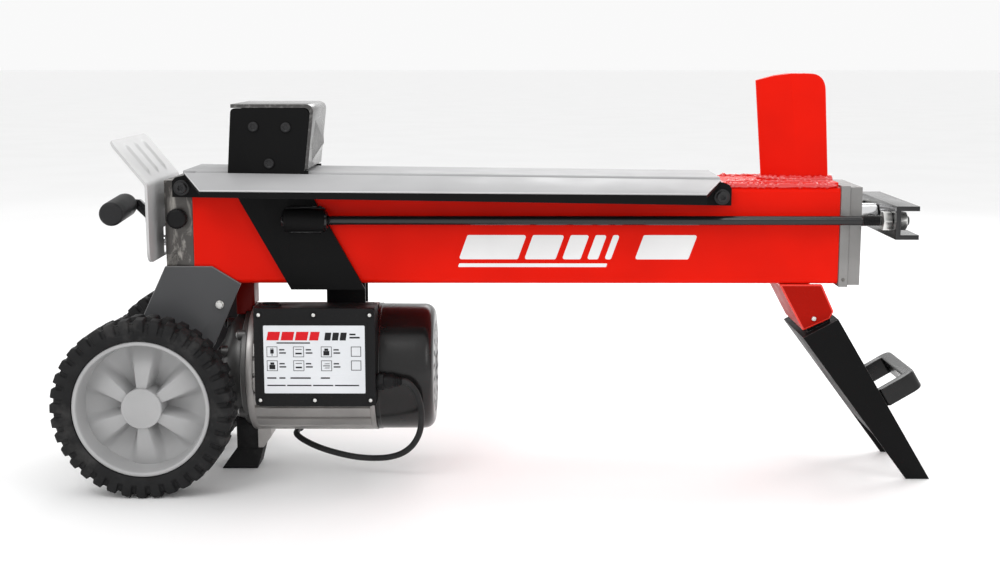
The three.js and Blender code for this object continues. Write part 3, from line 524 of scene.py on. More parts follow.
def smooth_line(points, each):
    """A centripetal curve through the points, with so many steps between each two."""
    pts = [Vector(p) for p in points]
    pts = [pts[0] * 2 - pts[1]] + pts + [pts[-1] * 2 - pts[-2]]
    line = []
    for p0, p1, p2, p3 in zip(pts, pts[1:], pts[2:], pts[3:]):
        t1 = (p1 - p0).length ** 0.5
        t2 = t1 + (p2 - p1).length ** 0.5
        t3 = t2 + (p3 - p2).length ** 0.5
        for k in range(each):
            t = t1 + (t2 - t1) * k / each
            a1 = p0.lerp(p1, t / t1)
            a2 = p1.lerp(p2, (t - t1) / (t2 - t1))
            a3 = p2.lerp(p3, (t - t2) / (t3 - t2))
            b1 = a1.lerp(a2, t / t2)
            b2 = a2.lerp(a3, (t - t1) / (t3 - t1))
            line.append(b1.lerp(b2, (t - t1) / (t2 - t1)))
    return line + [pts[-2]]


def build_cord():
    line = [TO_FRAME @ p for p in smooth_line(CORD_ROUTE, 5)]
    curve = bpy.data.curves.new("supply_cord", "CURVE")
    curve.dimensions = "3D"
    spline = curve.splines.new("POLY")
    spline.points.add(len(line) - 1)
    for point, spot in zip(spline.points, line):
        point.co = (*spot, 1)
    curve.bevel_depth = CORD_RADIUS * 0.001
    curve.bevel_resolution = 5
    curve.use_fill_caps = True
    curve.materials.append(CORD_RUBBER)
    cord = bpy.data.objects.new("supply_cord", curve)
    scene.collection.objects.link(cord)
    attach(cord, "chassis")
    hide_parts("power_cord")
    length = sum((b - a).length for a, b in zip(line, line[1:]))
    return cord, tuple(line[0]), length


def build_plug():
    """Moulded two-pin plug with finger ridges and a ribbed neck."""
    bm = bmesh.new()
    x, y, z = -412.0, 33.0, 17.2

    def oval(radius, squash):
        return lambda turn: radius * (1 - squash * abs(math.sin(turn)) ** 2)
    profile = [(0, x - 34), (oval(14.5, 0.1), x - 34), (oval(16.2, 0.1), x - 32.6), (oval(16.8, 0.1), x - 30)]
    for k in range(5):
        start = x - 28.5 + k * 2.6
        profile += [(oval(16.4 - k * 1.1, 0.12), start), (oval(15.2 - k * 1.1, 0.12), start + 0.7),
                    (oval(15.2 - k * 1.1, 0.12), start + 1.5), (oval(16.2 - k * 1.2, 0.12), start + 2.2)]
    for k in range(5):
        start = x - 14 + k * 2.7
        size = 7.4 - k * 0.6
        profile += [(size, start), (size, start + 1.5), (size - 1.2, start + 1.8), (size - 1.2, start + 2.4)]
    profile += [(4.4, x - 0.4), (0, x - 0.4)]
    turned(bm, profile, "x", (0, y, z), 48)
    body = piece("plug_body", bm, CORD_RUBBER, "mains_plug", angle=40)
    bm = bmesh.new()
    for side in (-9.5, 9.5):
        turned(bm, [(0, x - 53), (1.6, x - 53), (2.3, x - 51.6), (2.4, x - 46), (2.4, x - 33), (0, x - 33)],
               "x", (0, y + side, z), 20)
    pins = piece("plug_pins", bm, ZINC, slot="black_rubber", angle=40)
    return body, pins


cord, cord_exit, cord_length = build_cord()
plug_pieces = build_plug()


def build_gland():
    """Nut, tapered strain relief with slots, at the box's side."""
    bm = bmesh.new()
    centre = (0, -84, 115.2)
    hexed = hexagon(17.2)
    turned(bm, [(0, -136.6), (8.6, -136.6), (8.6, -135.2), (hexed, -135.0), (hexed, -129.5), (8.2, -129),
                (7.6, -128.6), (7.8, -127.5), (7.8, -121), (7.0, -119.5)], "x", centre, 36)
    profile = [(7.0, -119.5)]
    for k in range(4):
        start = -119.2 + k * 2.2
        size = 6.8 - k * 0.55
        profile += [(size, start), (size - 0.1, start + 1.2), (size - 1.1, start + 1.5), (size - 1.2, start + 2.0)]
    profile += [(4.3, -110.2), (3.6, -110.1), (3.5, -111.2), (0, -111.5)]
    turned(bm, profile, "x", centre, 36)
    piece("gland_shape", bm, BLACK_PLASTIC, "cable_gland", angle=35)


build_gland()
refined("cord_clip_front", bevel=0.5)
refined("cord_clip_rear", bevel=0.5)


# ---- beam, end plates, bed ----
def build_beam():
    """Rolled square tube: round corners, and the open inside that the cylinder lies in."""
    bm = bmesh.new()
    left, right = -337, 363
    ends = []
    for wall, corner in ((0, 5.5), (4, 3.0)):
        half = BEAM_HALF - wall
        outline = rounded(rectangle(-half, half, BEAM_LOW + wall, BEAM_HIGH - wall), corner, 8)
        ends.append([[bm.verts.new((x, a, b)) for a, b in outline] for x in (left, right)])
    outer, inner = ends
    skin(bm, outer + inner[::-1], loop=True)
    piece("beam_tube", bm, RED, "beam", bevel=0.5, segments=2, angle=50)


def build_marking():
    """Plain white stripes on both sides of the beam."""
    bm = bmesh.new()
    low, high = 243.5, 270.0
    lean = 0.36 * (high - low)
    x = -49.0
    for width, gap in ((64, 7), (34, 7), (20, 7), (12, 7), (7, 26), (58, 0)):
        outline = [(x, low), (x + width, low), (x + width + lean, high), (x + lean, high)]
        prism(bm, rounded(outline, 2.0, 3), "y", -BEAM_HALF - 0.22, -BEAM_HALF - 0.02)
        x += width + gap
    line = rounded([(-50, 235), (111, 235), (112.4, 239), (-48.6, 239)], 0.8, 3)
    prism(bm, line, "y", -BEAM_HALF - 0.22, -BEAM_HALF - 0.02)
    mirror_copy(bm)
    piece("beam_stripes", bm, WHITE_FILM, slot="red_paint", angle=40)


build_beam()
build_marking()
refined("end_flange", PLATE_GREY, bevel=1.6)
refined("end_cap", PLATE_GREY, bevel=2.2, segments=4)
refined("cylinder_tube", STEEL, bevel=0.6)


def build_end_details():
    """Rivets low on the end flange, and the seal round the piston rod in the end cap."""
    fasteners("flange_rivets", cross_screw, [(368.4, 51.4, 221.5)], (0, 1, 0), (1.9, 0.9), VALVE_STEEL,
              slot="bright_steel")
    bm = bmesh.new()
    turned(bm, [(12.8, 380), (19, 380), (19, 387.4), (18, 388.4), (14.4, 388.4), (13.0, 387.2)], "x",
           RAM_AXIS, 48, closed=True)
    piece("rod_seal", bm, BLACK_PLASTIC, slot="black_plastic", angle=35)


build_end_details()


def build_bed():
    """Folded sheet over the beam, standing on its two legs, with a tongue over the valve."""
    bm = bmesh.new()
    left, left_top, slope = -333, 339.5, -6.7 / 565.7
    sheet = 2.5
    rings = []
    for x, foot in ((-346, 336.4), (-333.4, 336.4), (left, 321.8), (232.7, 321.8)):
        z = left_top + slope * (x - left)
        half, low = BEAM_HALF - sheet, z - sheet
        outer = rounded([(-BEAM_HALF, foot), (-BEAM_HALF, z), (BEAM_HALF, z), (BEAM_HALF, foot)], [0, 4.0, 4.0, 0])
        inner = rounded([(-half, foot), (-half, low), (half, low), (half, foot)], [0, 1.8, 1.8, 0])
        rings.append([bm.verts.new((x, a, b)) for a, b in outer + inner[::-1]])
    skin(bm, rings)
    count = len(rings[0])
    for ring in (rings[0], rings[-1]):
        for i in range(count // 2 - 1):
            bm.faces.new([ring[i], ring[i + 1], ring[count - 2 - i], ring[count - 1 - i]])
    piece("bed_sheet", bm, SHEET_GREY, "bed_plate", bevel=0.35, segments=2, angle=50)


build_bed()


# ---- wedge ----
refined("wedge", RED, bevel=1.3, segments=4, angle=28, name="wedge_blade")


def build_wedge_weld():
    """Beads round the blade and its base plate, and the spatter between them, under thick paint."""
    bm = bmesh.new()
    z = 328.0
    foot = [(284, 0), (322, -12.6), (357.5, -12.6), (357.5, 12.6), (322, 12.6)]
    weld_bead(bm, [(x, y, z) for x, y in foot], 4.2, 3.0, 0.45, closed=True, step=1.6)
    weld_bead(bm, [(x, y * 1.3, z - 0.9) for x, y in foot], 3.4, 9.0, 0.6, closed=True, step=1.9)
    for side in (-1, 1):
        weld_bead(bm, [(238, side * 46, 323.6), (298, side * 46.2, 323.4), (359, side * 46, 323.6)],
                  3.4, 5.0 + side, 0.5, step=1.7)
        weld_bead(bm, [(240, side * 41, 326.6), (300, side * 40, 326.8), (356, side * 40.5, 326.4)],
                  2.6, 15.0 + side, 0.7, step=2.1)
    weld_bead(bm, [(236.4, -44, 323.8), (236.4, 44, 323.8)], 3.0, 21.0, 0.45)
    rng = random.Random(7)
    for _ in range(70):
        x, y = rng.uniform(244, 356), rng.uniform(-42, 42)
        size = rng.uniform(0.5, 1.7)
        place = Matrix.Translation((x, y, 327.0 + size * 0.15)) @ Matrix.Diagonal((1.5, 1.1, 0.6, 1))
        bmesh.ops.create_icosphere(bm, subdivisions=2, radius=size, matrix=place)
    piece("wedge_welds", bm, RED_THICK, slot="red_paint", angle=70)


build_wedge_weld()


# ---- log tables ----
for side in ("near", "far"):
    refined("table_frame_" + side, BLACK, bevel=0.9)
    refined("table_sheet_" + side, SHEET_GREY, bevel=0.45, segments=2)


def build_table_bolts():
    """A washer and a socket bolt at each end of each table."""
    bm = bmesh.new()
    for x, z in ((-345.9, 322), (233.6, 312.5)):
        turned(bm, [(0, 60.9), (8.6, 60.9), (8.6, 61.6), (8.0, 62.2), (7.2, 62.3), (0, 62.3)], "y", (x, 0, z), 40)
        socket_bolt(bm, (x, 62.2, z), (0, 1, 0), 6.2, 4.6, 5.2)
    mirror_copy(bm)
    piece("table_bolts", bm, BLACK_STEEL, slot="black_paint", angle=35)


build_table_bolts()


# ---- ram: pusher, rods, crossbar ----
for side in ("near", "far"):
    refined("pusher_side_" + side, BLACK, bevel=1.1)
refined("pusher_block", BLACK, bevel=1.2)
refined("pusher_face", PUSHER_FINISH, bevel=0.9, angle=24)


def build_ram_details():
    """The pusher's side bolts, and the welds round the bosses that hold the tie rods."""
    spots = [(-268, 56.5, 387), (-233.3, 56.5, 386.4), (-251.9, 56.5, 347.8)]
    fasteners("pusher_bolts", socket_bolt, spots, (0, 1, 0), (5.3, 2.6, 6.0), BLACK_STEEL,
              body="ram", slot="black_paint")
    bm = bmesh.new()
    turns = [k * math.pi / 8 for k in range(16)]
    ring = [(-191.5, ROD_Y + 7.2 * math.cos(turn), RAM_Z + 7.2 * math.sin(turn)) for turn in turns]
    weld_bead(bm, ring, 2.6, 4.0, 0.4, closed=True, sections=8)
    weld_bead(bm, [(-234, 57.5, 299.8), (-213, 57.4, 300.4), (-193, 57.6, 299.6)], 2.3, 31.0, 0.5)
    weld_bead(bm, [(-234, 57.5, 275.2), (-213, 57.4, 274.6), (-193, 57.6, 275.4)], 2.3, 37.0, 0.5)
    weld_bead(bm, [(-235.4, 58, 298), (-236, 65, 294), (-236.3, 72, 288), (-235.6, 66, 280)], 2.4, 43.0, 0.5)
    mirror_copy(bm)
    piece("boss_welds", bm, BLACK_GLOSS, body="ram", slot="black_paint", angle=60)


build_ram_details()


def threaded(radius, start, end, pitch=1.75):
    """Profile points of a thread along x."""
    points = []
    x = start
    while x < end - pitch:
        points += [(radius - 0.95, x + 0.1), (radius, x + pitch * 0.45), (radius, x + pitch * 0.6)]
        x += pitch
    return points


def build_rods():
    """Tie rods with their threads and inner nuts, the outer nuts and the piston rod."""
    for side, name in ((-1, "near"), (1, "far")):
        bm = bmesh.new()
        profile = [(0, -233.8), (4.6, -233.8), (5, -233.2), (5, 382), (5.6, 383)] + threaded(6, 383, 404)
        profile += [(5.2, 404.4), (hexagon(19), 404.6), (hexagon(19), 413.2), (9.2, 414.2), (5.2, 414.3)]
        profile += threaded(6, 414.4, 432) + [(4.6, 433), (0, 433)]
        turned(bm, profile, "x", (0, side * ROD_Y, RAM_Z), 36)
        rod = piece("tie_rod_bar_" + name, bm, [BLACK_GLOSS, ZINC], "tie_rod_" + name, angle=38)
        for polygon in rod.data.polygons:
            x, y, z = polygon.center * 1000
            on_nut = 404.5 < x - SHIFT_X < 414.25 and math.hypot(y - side * ROD_Y, z - RAM_Z) > 6.2
            polygon.material_index = int(on_nut)
    for node, y, across, end in (("rod_nut_near", -ROD_Y, 19, 429.9), ("rod_nut_far", ROD_Y, 19, 429.9),
                                 ("piston_nut", 0, 24, 431.8)):
        bm = bmesh.new()
        bore = 6.3 if y else 8.3
        start = 419.9
        turned(bm, [(bore, start), (across * 0.5, start), (hexagon(across), start + 1.1),
                    (hexagon(across), end - 1.4), (across * 0.49, end), (bore + 0.8, end), (bore, end - 0.8)],
               "x", (0, y, RAM_Z), 48, closed=True)
        piece(node + "_shape", bm, CHROME if y == 0 else ZINC, node, angle=30)
    bm = bmesh.new()
    turned(bm, [(0, -305.6), (12.5, -305.6), (12.5, 413), (11.6, 414.1), (8, 414.1)]
           + threaded(8, 414.4, 432.6, 2.0) + [(6.6, 433.8), (0, 433.8)], "x", RAM_AXIS, 64)
    piece("piston_rod_bar", bm, CHROME, "piston_rod", angle=38)


build_rods()
refined("crossbar", BLACK_GLOSS, bevel=1.5, segments=4, angle=40)


# ---- valve, guard, lever ----
refined("valve_block", VALVE_STEEL, bevel=1.0)


def build_guard():
    """Pressed sheet: bent once, with three ribs on the leaning part and a window for the plunger."""
    back, bottom, half, thick = -380.0, 242.0, 77, 1.45
    bend, bend_radius, lean = 322.7, 9.0, math.atan2(37.5, 46.5)
    top, low_corner, top_corner = 56.5, 14, 10
    rib_start, rib_end, rib_half, rib_height, fade = 7, 49.5, 7, 2.6, 5
    columns, rows_up = 154, 30

    # the middle line from the foot up: x, z, lean, and how far up the leaning part it is
    line = [(back, bottom + 2 * k, 0.0, None) for k in range(math.ceil((bend - bottom) / 2))]
    for k in range(9):
        turn = lean * k / 8
        line.append((back - bend_radius * (1 - math.cos(turn)), bend + bend_radius * math.sin(turn), turn, None))
    x, z = line[-1][:2]
    for k in range(1, rows_up + 1):
        reach = top * k / rows_up
        line.append((x - math.sin(lean) * reach, z + math.cos(lean) * reach, lean, reach))

    def inset(corner, past):
        """How far a rounded corner has drawn the edge in, so far past its start."""
        return corner - math.sqrt(max(0.0, corner ** 2 - past ** 2)) if past > 0 else 0.0

    def rib(y, reach):
        if reach is None or not rib_start < reach < rib_end:
            return 0.0
        rise = rib_height * min(1.0, (reach - rib_start) / fade, (rib_end - reach) / fade)
        span = min(abs(y - centre) for centre in (-36, 2, 40))
        return rise * 0.5 * (1 + math.cos(math.pi * span / rib_half)) if span < rib_half else 0.0

    def present(i, j):
        if not (0 <= i < len(line) - 1 and 0 <= j < columns):
            return False
        y = half * (2 * (j + 0.5) / columns - 1)
        in_window = abs(y) < 10.2 and 243.5 < (line[i][1] + line[i + 1][1]) / 2 < 274.5
        return not in_window

    bm = bmesh.new()
    grid = {}
    for face in (1, -1):
        for i, (x, z, turn, reach) in enumerate(line):
            if reach is None:
                squeeze = inset(low_corner, bottom + low_corner - z)
            else:
                squeeze = inset(top_corner, reach - (top - top_corner))
            for j in range(columns + 1):
                y = half * (2 * j / columns - 1)
                off = face * thick + rib(y, reach)
                place = (x + math.cos(turn) * off, y * (half - squeeze) / half, z + math.sin(turn) * off)
                grid[face, i, j] = bm.verts.new(place)
    for i in range(len(line) - 1):
        for j in range(columns):
            if not present(i, j):
                continue
            corners = [(i, j), (i, j + 1), (i + 1, j + 1), (i + 1, j)]
            bm.faces.new([grid[(1, *c)] for c in corners])
            bm.faces.new([grid[(-1, *c)] for c in corners[::-1]])
            for (di, dj), (a, b) in (((-1, 0), (0, 1)), ((0, 1), (1, 2)), ((1, 0), (2, 3)), ((0, -1), (3, 0))):
                if not present(i + di, j + dj):
                    p, q = corners[a], corners[b]
                    bm.faces.new([grid[(1, *q)], grid[(1, *p)], grid[(-1, *p)], grid[(-1, *q)]])
    loose = [v for v in bm.verts if not v.link_faces]
    bmesh.ops.delete(bm, geom=loose, context="VERTS")
    piece("guard_sheet", bm, GUARD_GREY, "guard_plate", angle=45)


build_guard()
refined("lever_bracket", BLACK_STEEL, bevel=0.5)
refined("lever_bar", BLACK_GLOSS, bevel=0.8)
refined("valve_plunger", CHROME, bevel=0.5)


def build_grip():
    """Moulded sleeve with rounded ends, open where the lever goes in."""
    bm = bmesh.new()
    near = -74.0
    profile = [(0, near), (9.4, near), (11.6, near + 0.6), (12.7, near + 2.2), (13.0, near + 4.5)]
    profile += [(13.0, -12), (12.6, -8.4), (11.2, -5.8), (9.0, -5.1), (5.4, -5.0), (5.4, -8), (0, -8)]
    turned(bm, profile, "y", (0, 0, 0), 64)
    bm.transform(Matrix.Translation((-420, 0, 299)) @ Matrix.Rotation(0.062, 4, "X"))
    piece("grip_sleeve", bm, GRIP_PLASTIC, "lever_grip", angle=50)


build_grip()


def build_bleed_screw():
    """Knob with scalloped edge."""
    bm = bmesh.new()

    def edge(radius):
        return lambda turn: radius * (1 - 0.022 * (1 + math.cos(24 * turn)))
    turned(bm, [(0, -59.2), (7, -59.2), (8.2, -58.9), (edge(10), -58.4), (edge(11), -57.2), (edge(11), -51.2),
                (edge(10.4), -50.5), (4, -50.4), (4, -30.2), (0, -30.2)], "y", (-353.4, 0, 288), 144)
    piece("bleed_knob", bm, BLACK_PLASTIC, "bleed_screw", angle=38)


build_bleed_screw()


# ---- wheels ----
def wheel_matrix(side):
    """From a wheel lying round the y axis, outer face at +y, to its place."""
    flip = Matrix.Scale(-1, 4, (0, 1, 0)) if side < 0 else Matrix.Identity(4)
    return Matrix.Translation((WHEEL_X, 0, WHEEL_R)) @ flip @ Matrix.Translation((0, WHEEL_Y, 0))


def build_tyre(side, name):
    """Solid tyre with two staggered rows of blocks that run down on to the shoulders."""
    bm = bmesh.new()
    blocks, per_block = 36, 12
    segments = blocks * per_block
    # radius between the blocks, distance from the middle plane, and how much higher a block stands
    half_profile = [
        (73.3, 20, 0), (75.5, 21.6, 0), (79, 22.7, 0), (81.2, 23.1, 0), (82.6, 23.3, 0), (84.5, 23.4, 0),
        (87, 23.3, 0), (89.2, 22.9, 1.0), (90.6, 22.2, 2.6), (91.3, 21.0, 3.5), (91.6, 18.6, 3.9), (91.6, 12, 3.9),
        (91.6, 6, 3.9), (91.6, 1.2, 3.9),
    ]
    rings = []
    for radius, y, rise in [(r, -y, rise) for r, y, rise in half_profile] + half_profile[::-1]:
        pocket = min(1.0, max(0.0, (radius - 81.6) / 1.6)) if abs(y) > 20.5 else 0.0
        ring = []
        for i in range(segments):
            phase = (i / per_block + (0.5 if y > 0 else 0.0) + 0.12 * abs(y) / 23) % 1.0
            on_block = min(1.0, max(0.0, (min(phase, 1 - phase) - 0.15) / 0.06))
            turn = 2 * math.pi * i / segments
            r = radius + rise * on_block
            along = y - math.copysign(2.6 * pocket * (1 - on_block), y)
            ring.append(bm.verts.new((r * math.cos(turn), along, r * math.sin(turn))))
        rings.append(ring)
    skin(bm, rings, loop=True)
    bm.transform(wheel_matrix(side))
    piece("tyre_tread_" + name, bm, TYRE_RUBBER, "tyre_" + name, angle=42)


def build_rim(side, name):
    """Moulded rim: six broad spokes that slope from the hub down to the deep outer ring."""
    bm = bmesh.new()
    segments = 216

    def spoke(r, turn):
        """0 in a valley, 1 on a spoke."""
        sector = math.pi / 3
        off = abs(((turn - math.pi / 2 + sector / 2) % sector) - sector / 2)
        half = math.radians(17.8 - 3.5 * (r - 23) / 43)
        soft = math.radians(9 + 3 * (r - 23) / 43)
        t = min(1.0, max(0.0, (half + soft / 2 - off) / soft))
        return t * t * (3 - 2 * t)

    def height(r, turn):
        t = (r - 21.0) / 45
        top = 11.0 - 16.5 * t ** 1.1
        floor = -16.2 + 7.5 * t ** 0.7
        crown = 1.2 * math.cos(((turn - math.pi / 2 + math.pi / 6) % (math.pi / 3) - math.pi / 6) * 5)
        return floor + (top + crown - floor) * spoke(r, turn)

    radii = [21.0, 23, 25.5, 28.5, 32, 36, 40, 44, 48, 52, 56, 59, 61.5, 63.5, 65.2]
    rings = []

    def ring(radius, y):
        points = []
        for i in range(segments):
            turn = 2 * math.pi * i / segments
            along = y(turn) if callable(y) else y
            points.append(bm.verts.new((radius * math.cos(turn), along, radius * math.sin(turn))))
        rings.append(points)

    for r, y in ((6.5, -20), (6.5, 12.2), (19.8, 12.2), (20.6, 11.6)):
        ring(r, y)
    for r in radii:
        ring(r, lambda turn, r=r: height(r, turn))
    for r, y in ((66.3, -0.4), (67.0, 4), (67.6, 12), (68.0, 17.2), (68.5, 18.6), (69.6, 19.3), (71.2, 19.3),
                 (72.4, 18.6), (72.95, 17), (72.95, -18), (71.8, -19), (67, -19), (66.4, -18)):
        ring(r, y)
    for r in radii[::-1]:
        ring(r, lambda turn, r=r: max(height(r, turn) - 3.0, -19.4))
    for r, y in ((19.4, -19.2), (18.4, -19.8), (17.6, -20)):
        ring(r, y)
    skin(bm, rings, loop=True)
    bm.transform(wheel_matrix(side))
    piece("rim_moulding_" + name, bm, RIM_PLASTIC, "rim_" + name, angle=40)
    bm = bmesh.new()
    turned(bm, [(9, 12.6), (21.1, 12.6), (21.6, 13.1), (21.6, 14.6), (21.1, 15.6), (20.2, 16.1), (19.7, 16.1),
                (19.2, 16.0), (18.6, 16.2), (12, 17.7), (5, 18.3), (0, 18.45), (0, 15.8), (9, 15.8)],
           "y", segments=96, closed=True)
    bm.transform(wheel_matrix(side))
    piece("hub_cap_shape_" + name, bm, RIM_PLASTIC, "hub_cap_" + name, angle=40)


for wheel_side, wheel_name in ((-1, "near"), (1, "far")):
    build_tyre(wheel_side, wheel_name)
    build_rim(wheel_side, wheel_name)
    refined("wheel_bracket_" + wheel_name, BRACKET_GREY, bevel=0.7)
refined("axle", ZINC, bevel=0.6)


def build_bracket_details():
    """The fold along each bracket's left edge, and its bolt."""
    bm = bmesh.new()
    outline = [(-368, 235.8), (-394.3, 180), (-404.2, 97), (-400.6, 96.5), (-390.8, 178.6), (-365.2, 233.2)]
    prism(bm, outline, "y", 30, 50.2)
    mirror_copy(bm)
    piece("bracket_folds", bm, BRACKET_GREY, slot="bracket_paint", bevel=0.6, angle=30)
    fasteners("bracket_bolts", hex_bolt, [(-309.6, 54.4, 194)], (0, 1, 0), (6.8, 2.8, 4.6), ZINC,
              slot="bright_steel")


build_bracket_details()


# ---- motor and pump ----
def around(count, radius, first):
    """Places (y, z) evenly round the motor's axis."""
    turns = [first + 2 * math.pi * k / count for k in range(count)]
    return [(radius * math.cos(turn), MOTOR_Z + radius * math.sin(turn)) for turn in turns]


def build_motor():
    """Extruded housing with grooves along it, and the end shield on four screws."""
    outside, groove_depth, pitch = 71.9, 3.6, 15

    def radius(turn):
        phase = ((math.degrees(turn) + 78) % pitch) / pitch
        edge = min(phase, 1 - phase)
        return outside - groove_depth * min(1.0, max(0.0, (0.12 - edge) / 0.05))

    bm = bmesh.new()
    turned(bm, [(64, -280.9), (70, -280.9), (71.6, -280.2), (outside, -279), (outside, -274), (71.4, -273),
                (radius, -272.6), (radius, -147), (71.4, -146.6), (outside, -145.8), (outside, -141.2),
                (64, -141.2)], "x", MOTOR_AXIS, 360, closed=True)
    lug = [(-278.4, 23), (-272.5, 23), (-263.4, 36), (-263.4, 44.5), (-278.4, 44.5)]
    prism(bm, rounded(lug, [1, 3, 2, 0, 0], 4), "y", -15, 15)
    piece("motor_shell", bm, ALUMINIUM, "motor_housing", angle=40)
    bm = bmesh.new()
    turned(bm, [(8.5, -287.9), (64.5, -287.9), (65.9, -286.6), (65.9, -282.4), (65, -281.4), (8.5, -281.4)], "x",
           MOTOR_AXIS, 96, closed=True)
    for y, z in around(4, 61, math.pi / 4):
        turned(bm, [(0, -293), (5.4, -293), (6, -292.4), (6, -284), (0, -284)], "x", (0, y, z), 24)
    # the end shield takes the darkened alloy: painted shade
    piece("motor_end_shield", bm, SHIELD_PAINTED_SHADE, "motor_flange", angle=40)
    fasteners("shield_screws", cross_screw, [(-293, y, z) for y, z in around(4, 61, math.pi / 4)], (-1, 0, 0),
              (3.6, 1.8), ZINC, mirrored=False, slot="bright_steel")


def build_fan_cover():
    """Deep moulded cover with a rim band, and rings of ventilation slots in its end."""
    bm = bmesh.new()
    profile = [(66, -140.6), (70.6, -140.6), (71.2, -140.0), (71.2, -136.5), (70.5, -135.8), (70.3, -98)]
    for k in range(9):
        turn = math.pi / 2 * k / 8
        profile.append((58.3 + 12 * math.cos(turn), -89.2 + 12 * math.sin(turn)))
    profile += [(52, -77.2), (51, -77.9), (49.6, -77.9), (48.6, -77.2), (18, -77.2), (16, -78.2), (0, -78.4),
                (0, -80), (57, -80.2), (62, -81.5), (65.5, -85), (66.4, -90), (66.4, -130)]
    turned(bm, profile, "x", MOTOR_AXIS, 96, closed=True)
    cover = piece("fan_cover_shell", bm, COVER_PLASTIC, "fan_cover", angle=35)
    cutters = bmesh.new()
    for radius, count, length in ((43.5, 18, 9), (31.5, 14, 8), (21.8, 9, 7)):
        outline = rounded(rectangle(radius - 4.4, radius + 4.4, -length * 0.31, length * 0.31), 1.8, 3)
        for k in range(count):
            turn = Matrix.Rotation(2 * math.pi * (k + 0.5) / count, 2)
            prism(cutters, [turn @ Vector(p) + Vector((0, MOTOR_Z)) for p in outline], "x", -90, -70)
    bmesh.ops.recalc_face_normals(cutters, faces=cutters.faces)
    cutters.transform(TO_FRAME)
    holder = bpy.data.meshes.new("slots")
    cutters.to_mesh(holder)
    cutters.free()
    tool = bpy.data.objects.new("slots", holder)
    scene.collection.objects.link(tool)
    carve = cover.modifiers.new("slots", "BOOLEAN")
    carve.object = tool
    carve.solver = "EXACT"
    apply_modifiers(cover)
    bpy.data.objects.remove(tool)
    cover.data.set_sharp_from_angle(angle=math.radians(35))


def apply_modifiers(obj):
    bpy.context.view_layer.update()
    graph = bpy.context.evaluated_depsgraph_get()
    mesh = bpy.data.meshes.new_from_object(obj.evaluated_get(graph))
    old = obj.data
    obj.modifiers.clear()
    obj.data = mesh
    bpy.data.meshes.remove(old)


def build_pump():
    """Gear pump casting: a stepped round body with six bolts."""
    bm = bmesh.new()
    turned(bm, [(0, -314.9), (22, -314.9), (25.5, -314.2), (28, -313.4), (43, -310.6), (46, -309.4), (55, -303.2),
                (58, -299), (59.4, -294), (59.9, -292), (59.9, -289.2), (59, -288.4), (26, -288.4), (26, -306),
                (0, -306)], "x", MOTOR_AXIS, 96)
    for y, z in around(6, 48, math.pi / 6):
        turned(bm, [(0, -311.5), (6.2, -311.5), (6.8, -310.8), (6.8, -300), (0, -300)], "x", (0, y, z), 24)
    # the pump casting takes the darkened alloy: painted shade
    piece("pump_casting_shape", bm, ALUMINIUM_PAINTED_SHADE, "pump_housing", angle=35)
    fasteners("pump_bolts", socket_bolt, [(-311.5, y, z) for y, z in around(6, 48, math.pi / 6)], (-1, 0, 0),
              (5, 3.4, 5), BLACK_STEEL, mirrored=False, slot="bright_steel")


build_motor()
build_fan_cover()
build_pump()
refined("rubber_foot", FOOT_RUBBER, bevel=1.6)
refined("motor_bracket", BLACK, bevel=1.0)
# the pump hanger takes the darker red: painted shade
refined("pump_hanger", RED_PAINTED_SHADE, bevel=1.5)
refined("stator", COPPER, bevel=0.5)
refined("rotor", STEEL, bevel=0.5)
refined("cooling_fan", BLACK_PLASTIC, bevel=0.3)
refined("capacitor", ALUMINIUM, bevel=1.0)
refined("piston", STEEL, bevel=0.6)


# ---- switch box ----
def build_switch_box():
    """Box, lid with its raised frame, six screws in their rings, and the start button in its collar."""
    refined("switch_box", BLACK_PLASTIC, bevel=2.2, angle=60)
    bm = bmesh.new()
    outline = rounded(rectangle(-266, -137, 91, 197.3), 7.0, 8)
    prism(bm, outline, "y", -98, -95.6)
    lip = rounded(rectangle(-258.8, -144.6, 102.2, 182.2), 2.0, 4)
    prism(bm, lip, "y", -98.35, -97.9)
    piece("box_lid", bm, BLACK_PLASTIC, "box_cover", bevel=0.8, angle=40)
    rings = bmesh.new()
    spots = [(x, -98.4, z) for x in (-260.4, -202.0, -142.4) for z in (97.6, 190.2)]
    for x, _, z in spots:
        turned(rings, [(2.2, -97.9), (3.7, -97.9), (3.7, -98.7), (3.3, -99.0), (2.6, -99.0), (2.2, -98.5)], "y",
               (x, 0, z), 32, closed=True)
    fasteners("lid_screws", cross_screw, spots, (0, -1, 0), (2.05, 0.9), ZINC, mirrored=False, slot="bright_steel")
    piece("lid_screw_rings", rings, BLACK_PLASTIC, slot="black_plastic", angle=35)
    bm = bmesh.new()
    turned(bm, [(0, 186), (7.6, 186), (7.9, 186.4), (7.9, 196.6), (7.5, 197.5), (6.6, 197.9), (0, 197.6)], "z",
           (-250, -80, 0), 48)
    piece("start_button_cap", bm, BLACK_GLOSS, "start_button", angle=40)
    bm = bmesh.new()
    turned(bm, [(8.6, 197.2), (11.8, 197.2), (11.6, 198.6), (10.8, 199.3), (9.4, 199.4), (8.6, 198.8)], "z",
           (-250, -80, 0), 48, closed=True)
    piece("button_collar", bm, BLACK_PLASTIC, slot="black_plastic", angle=40)


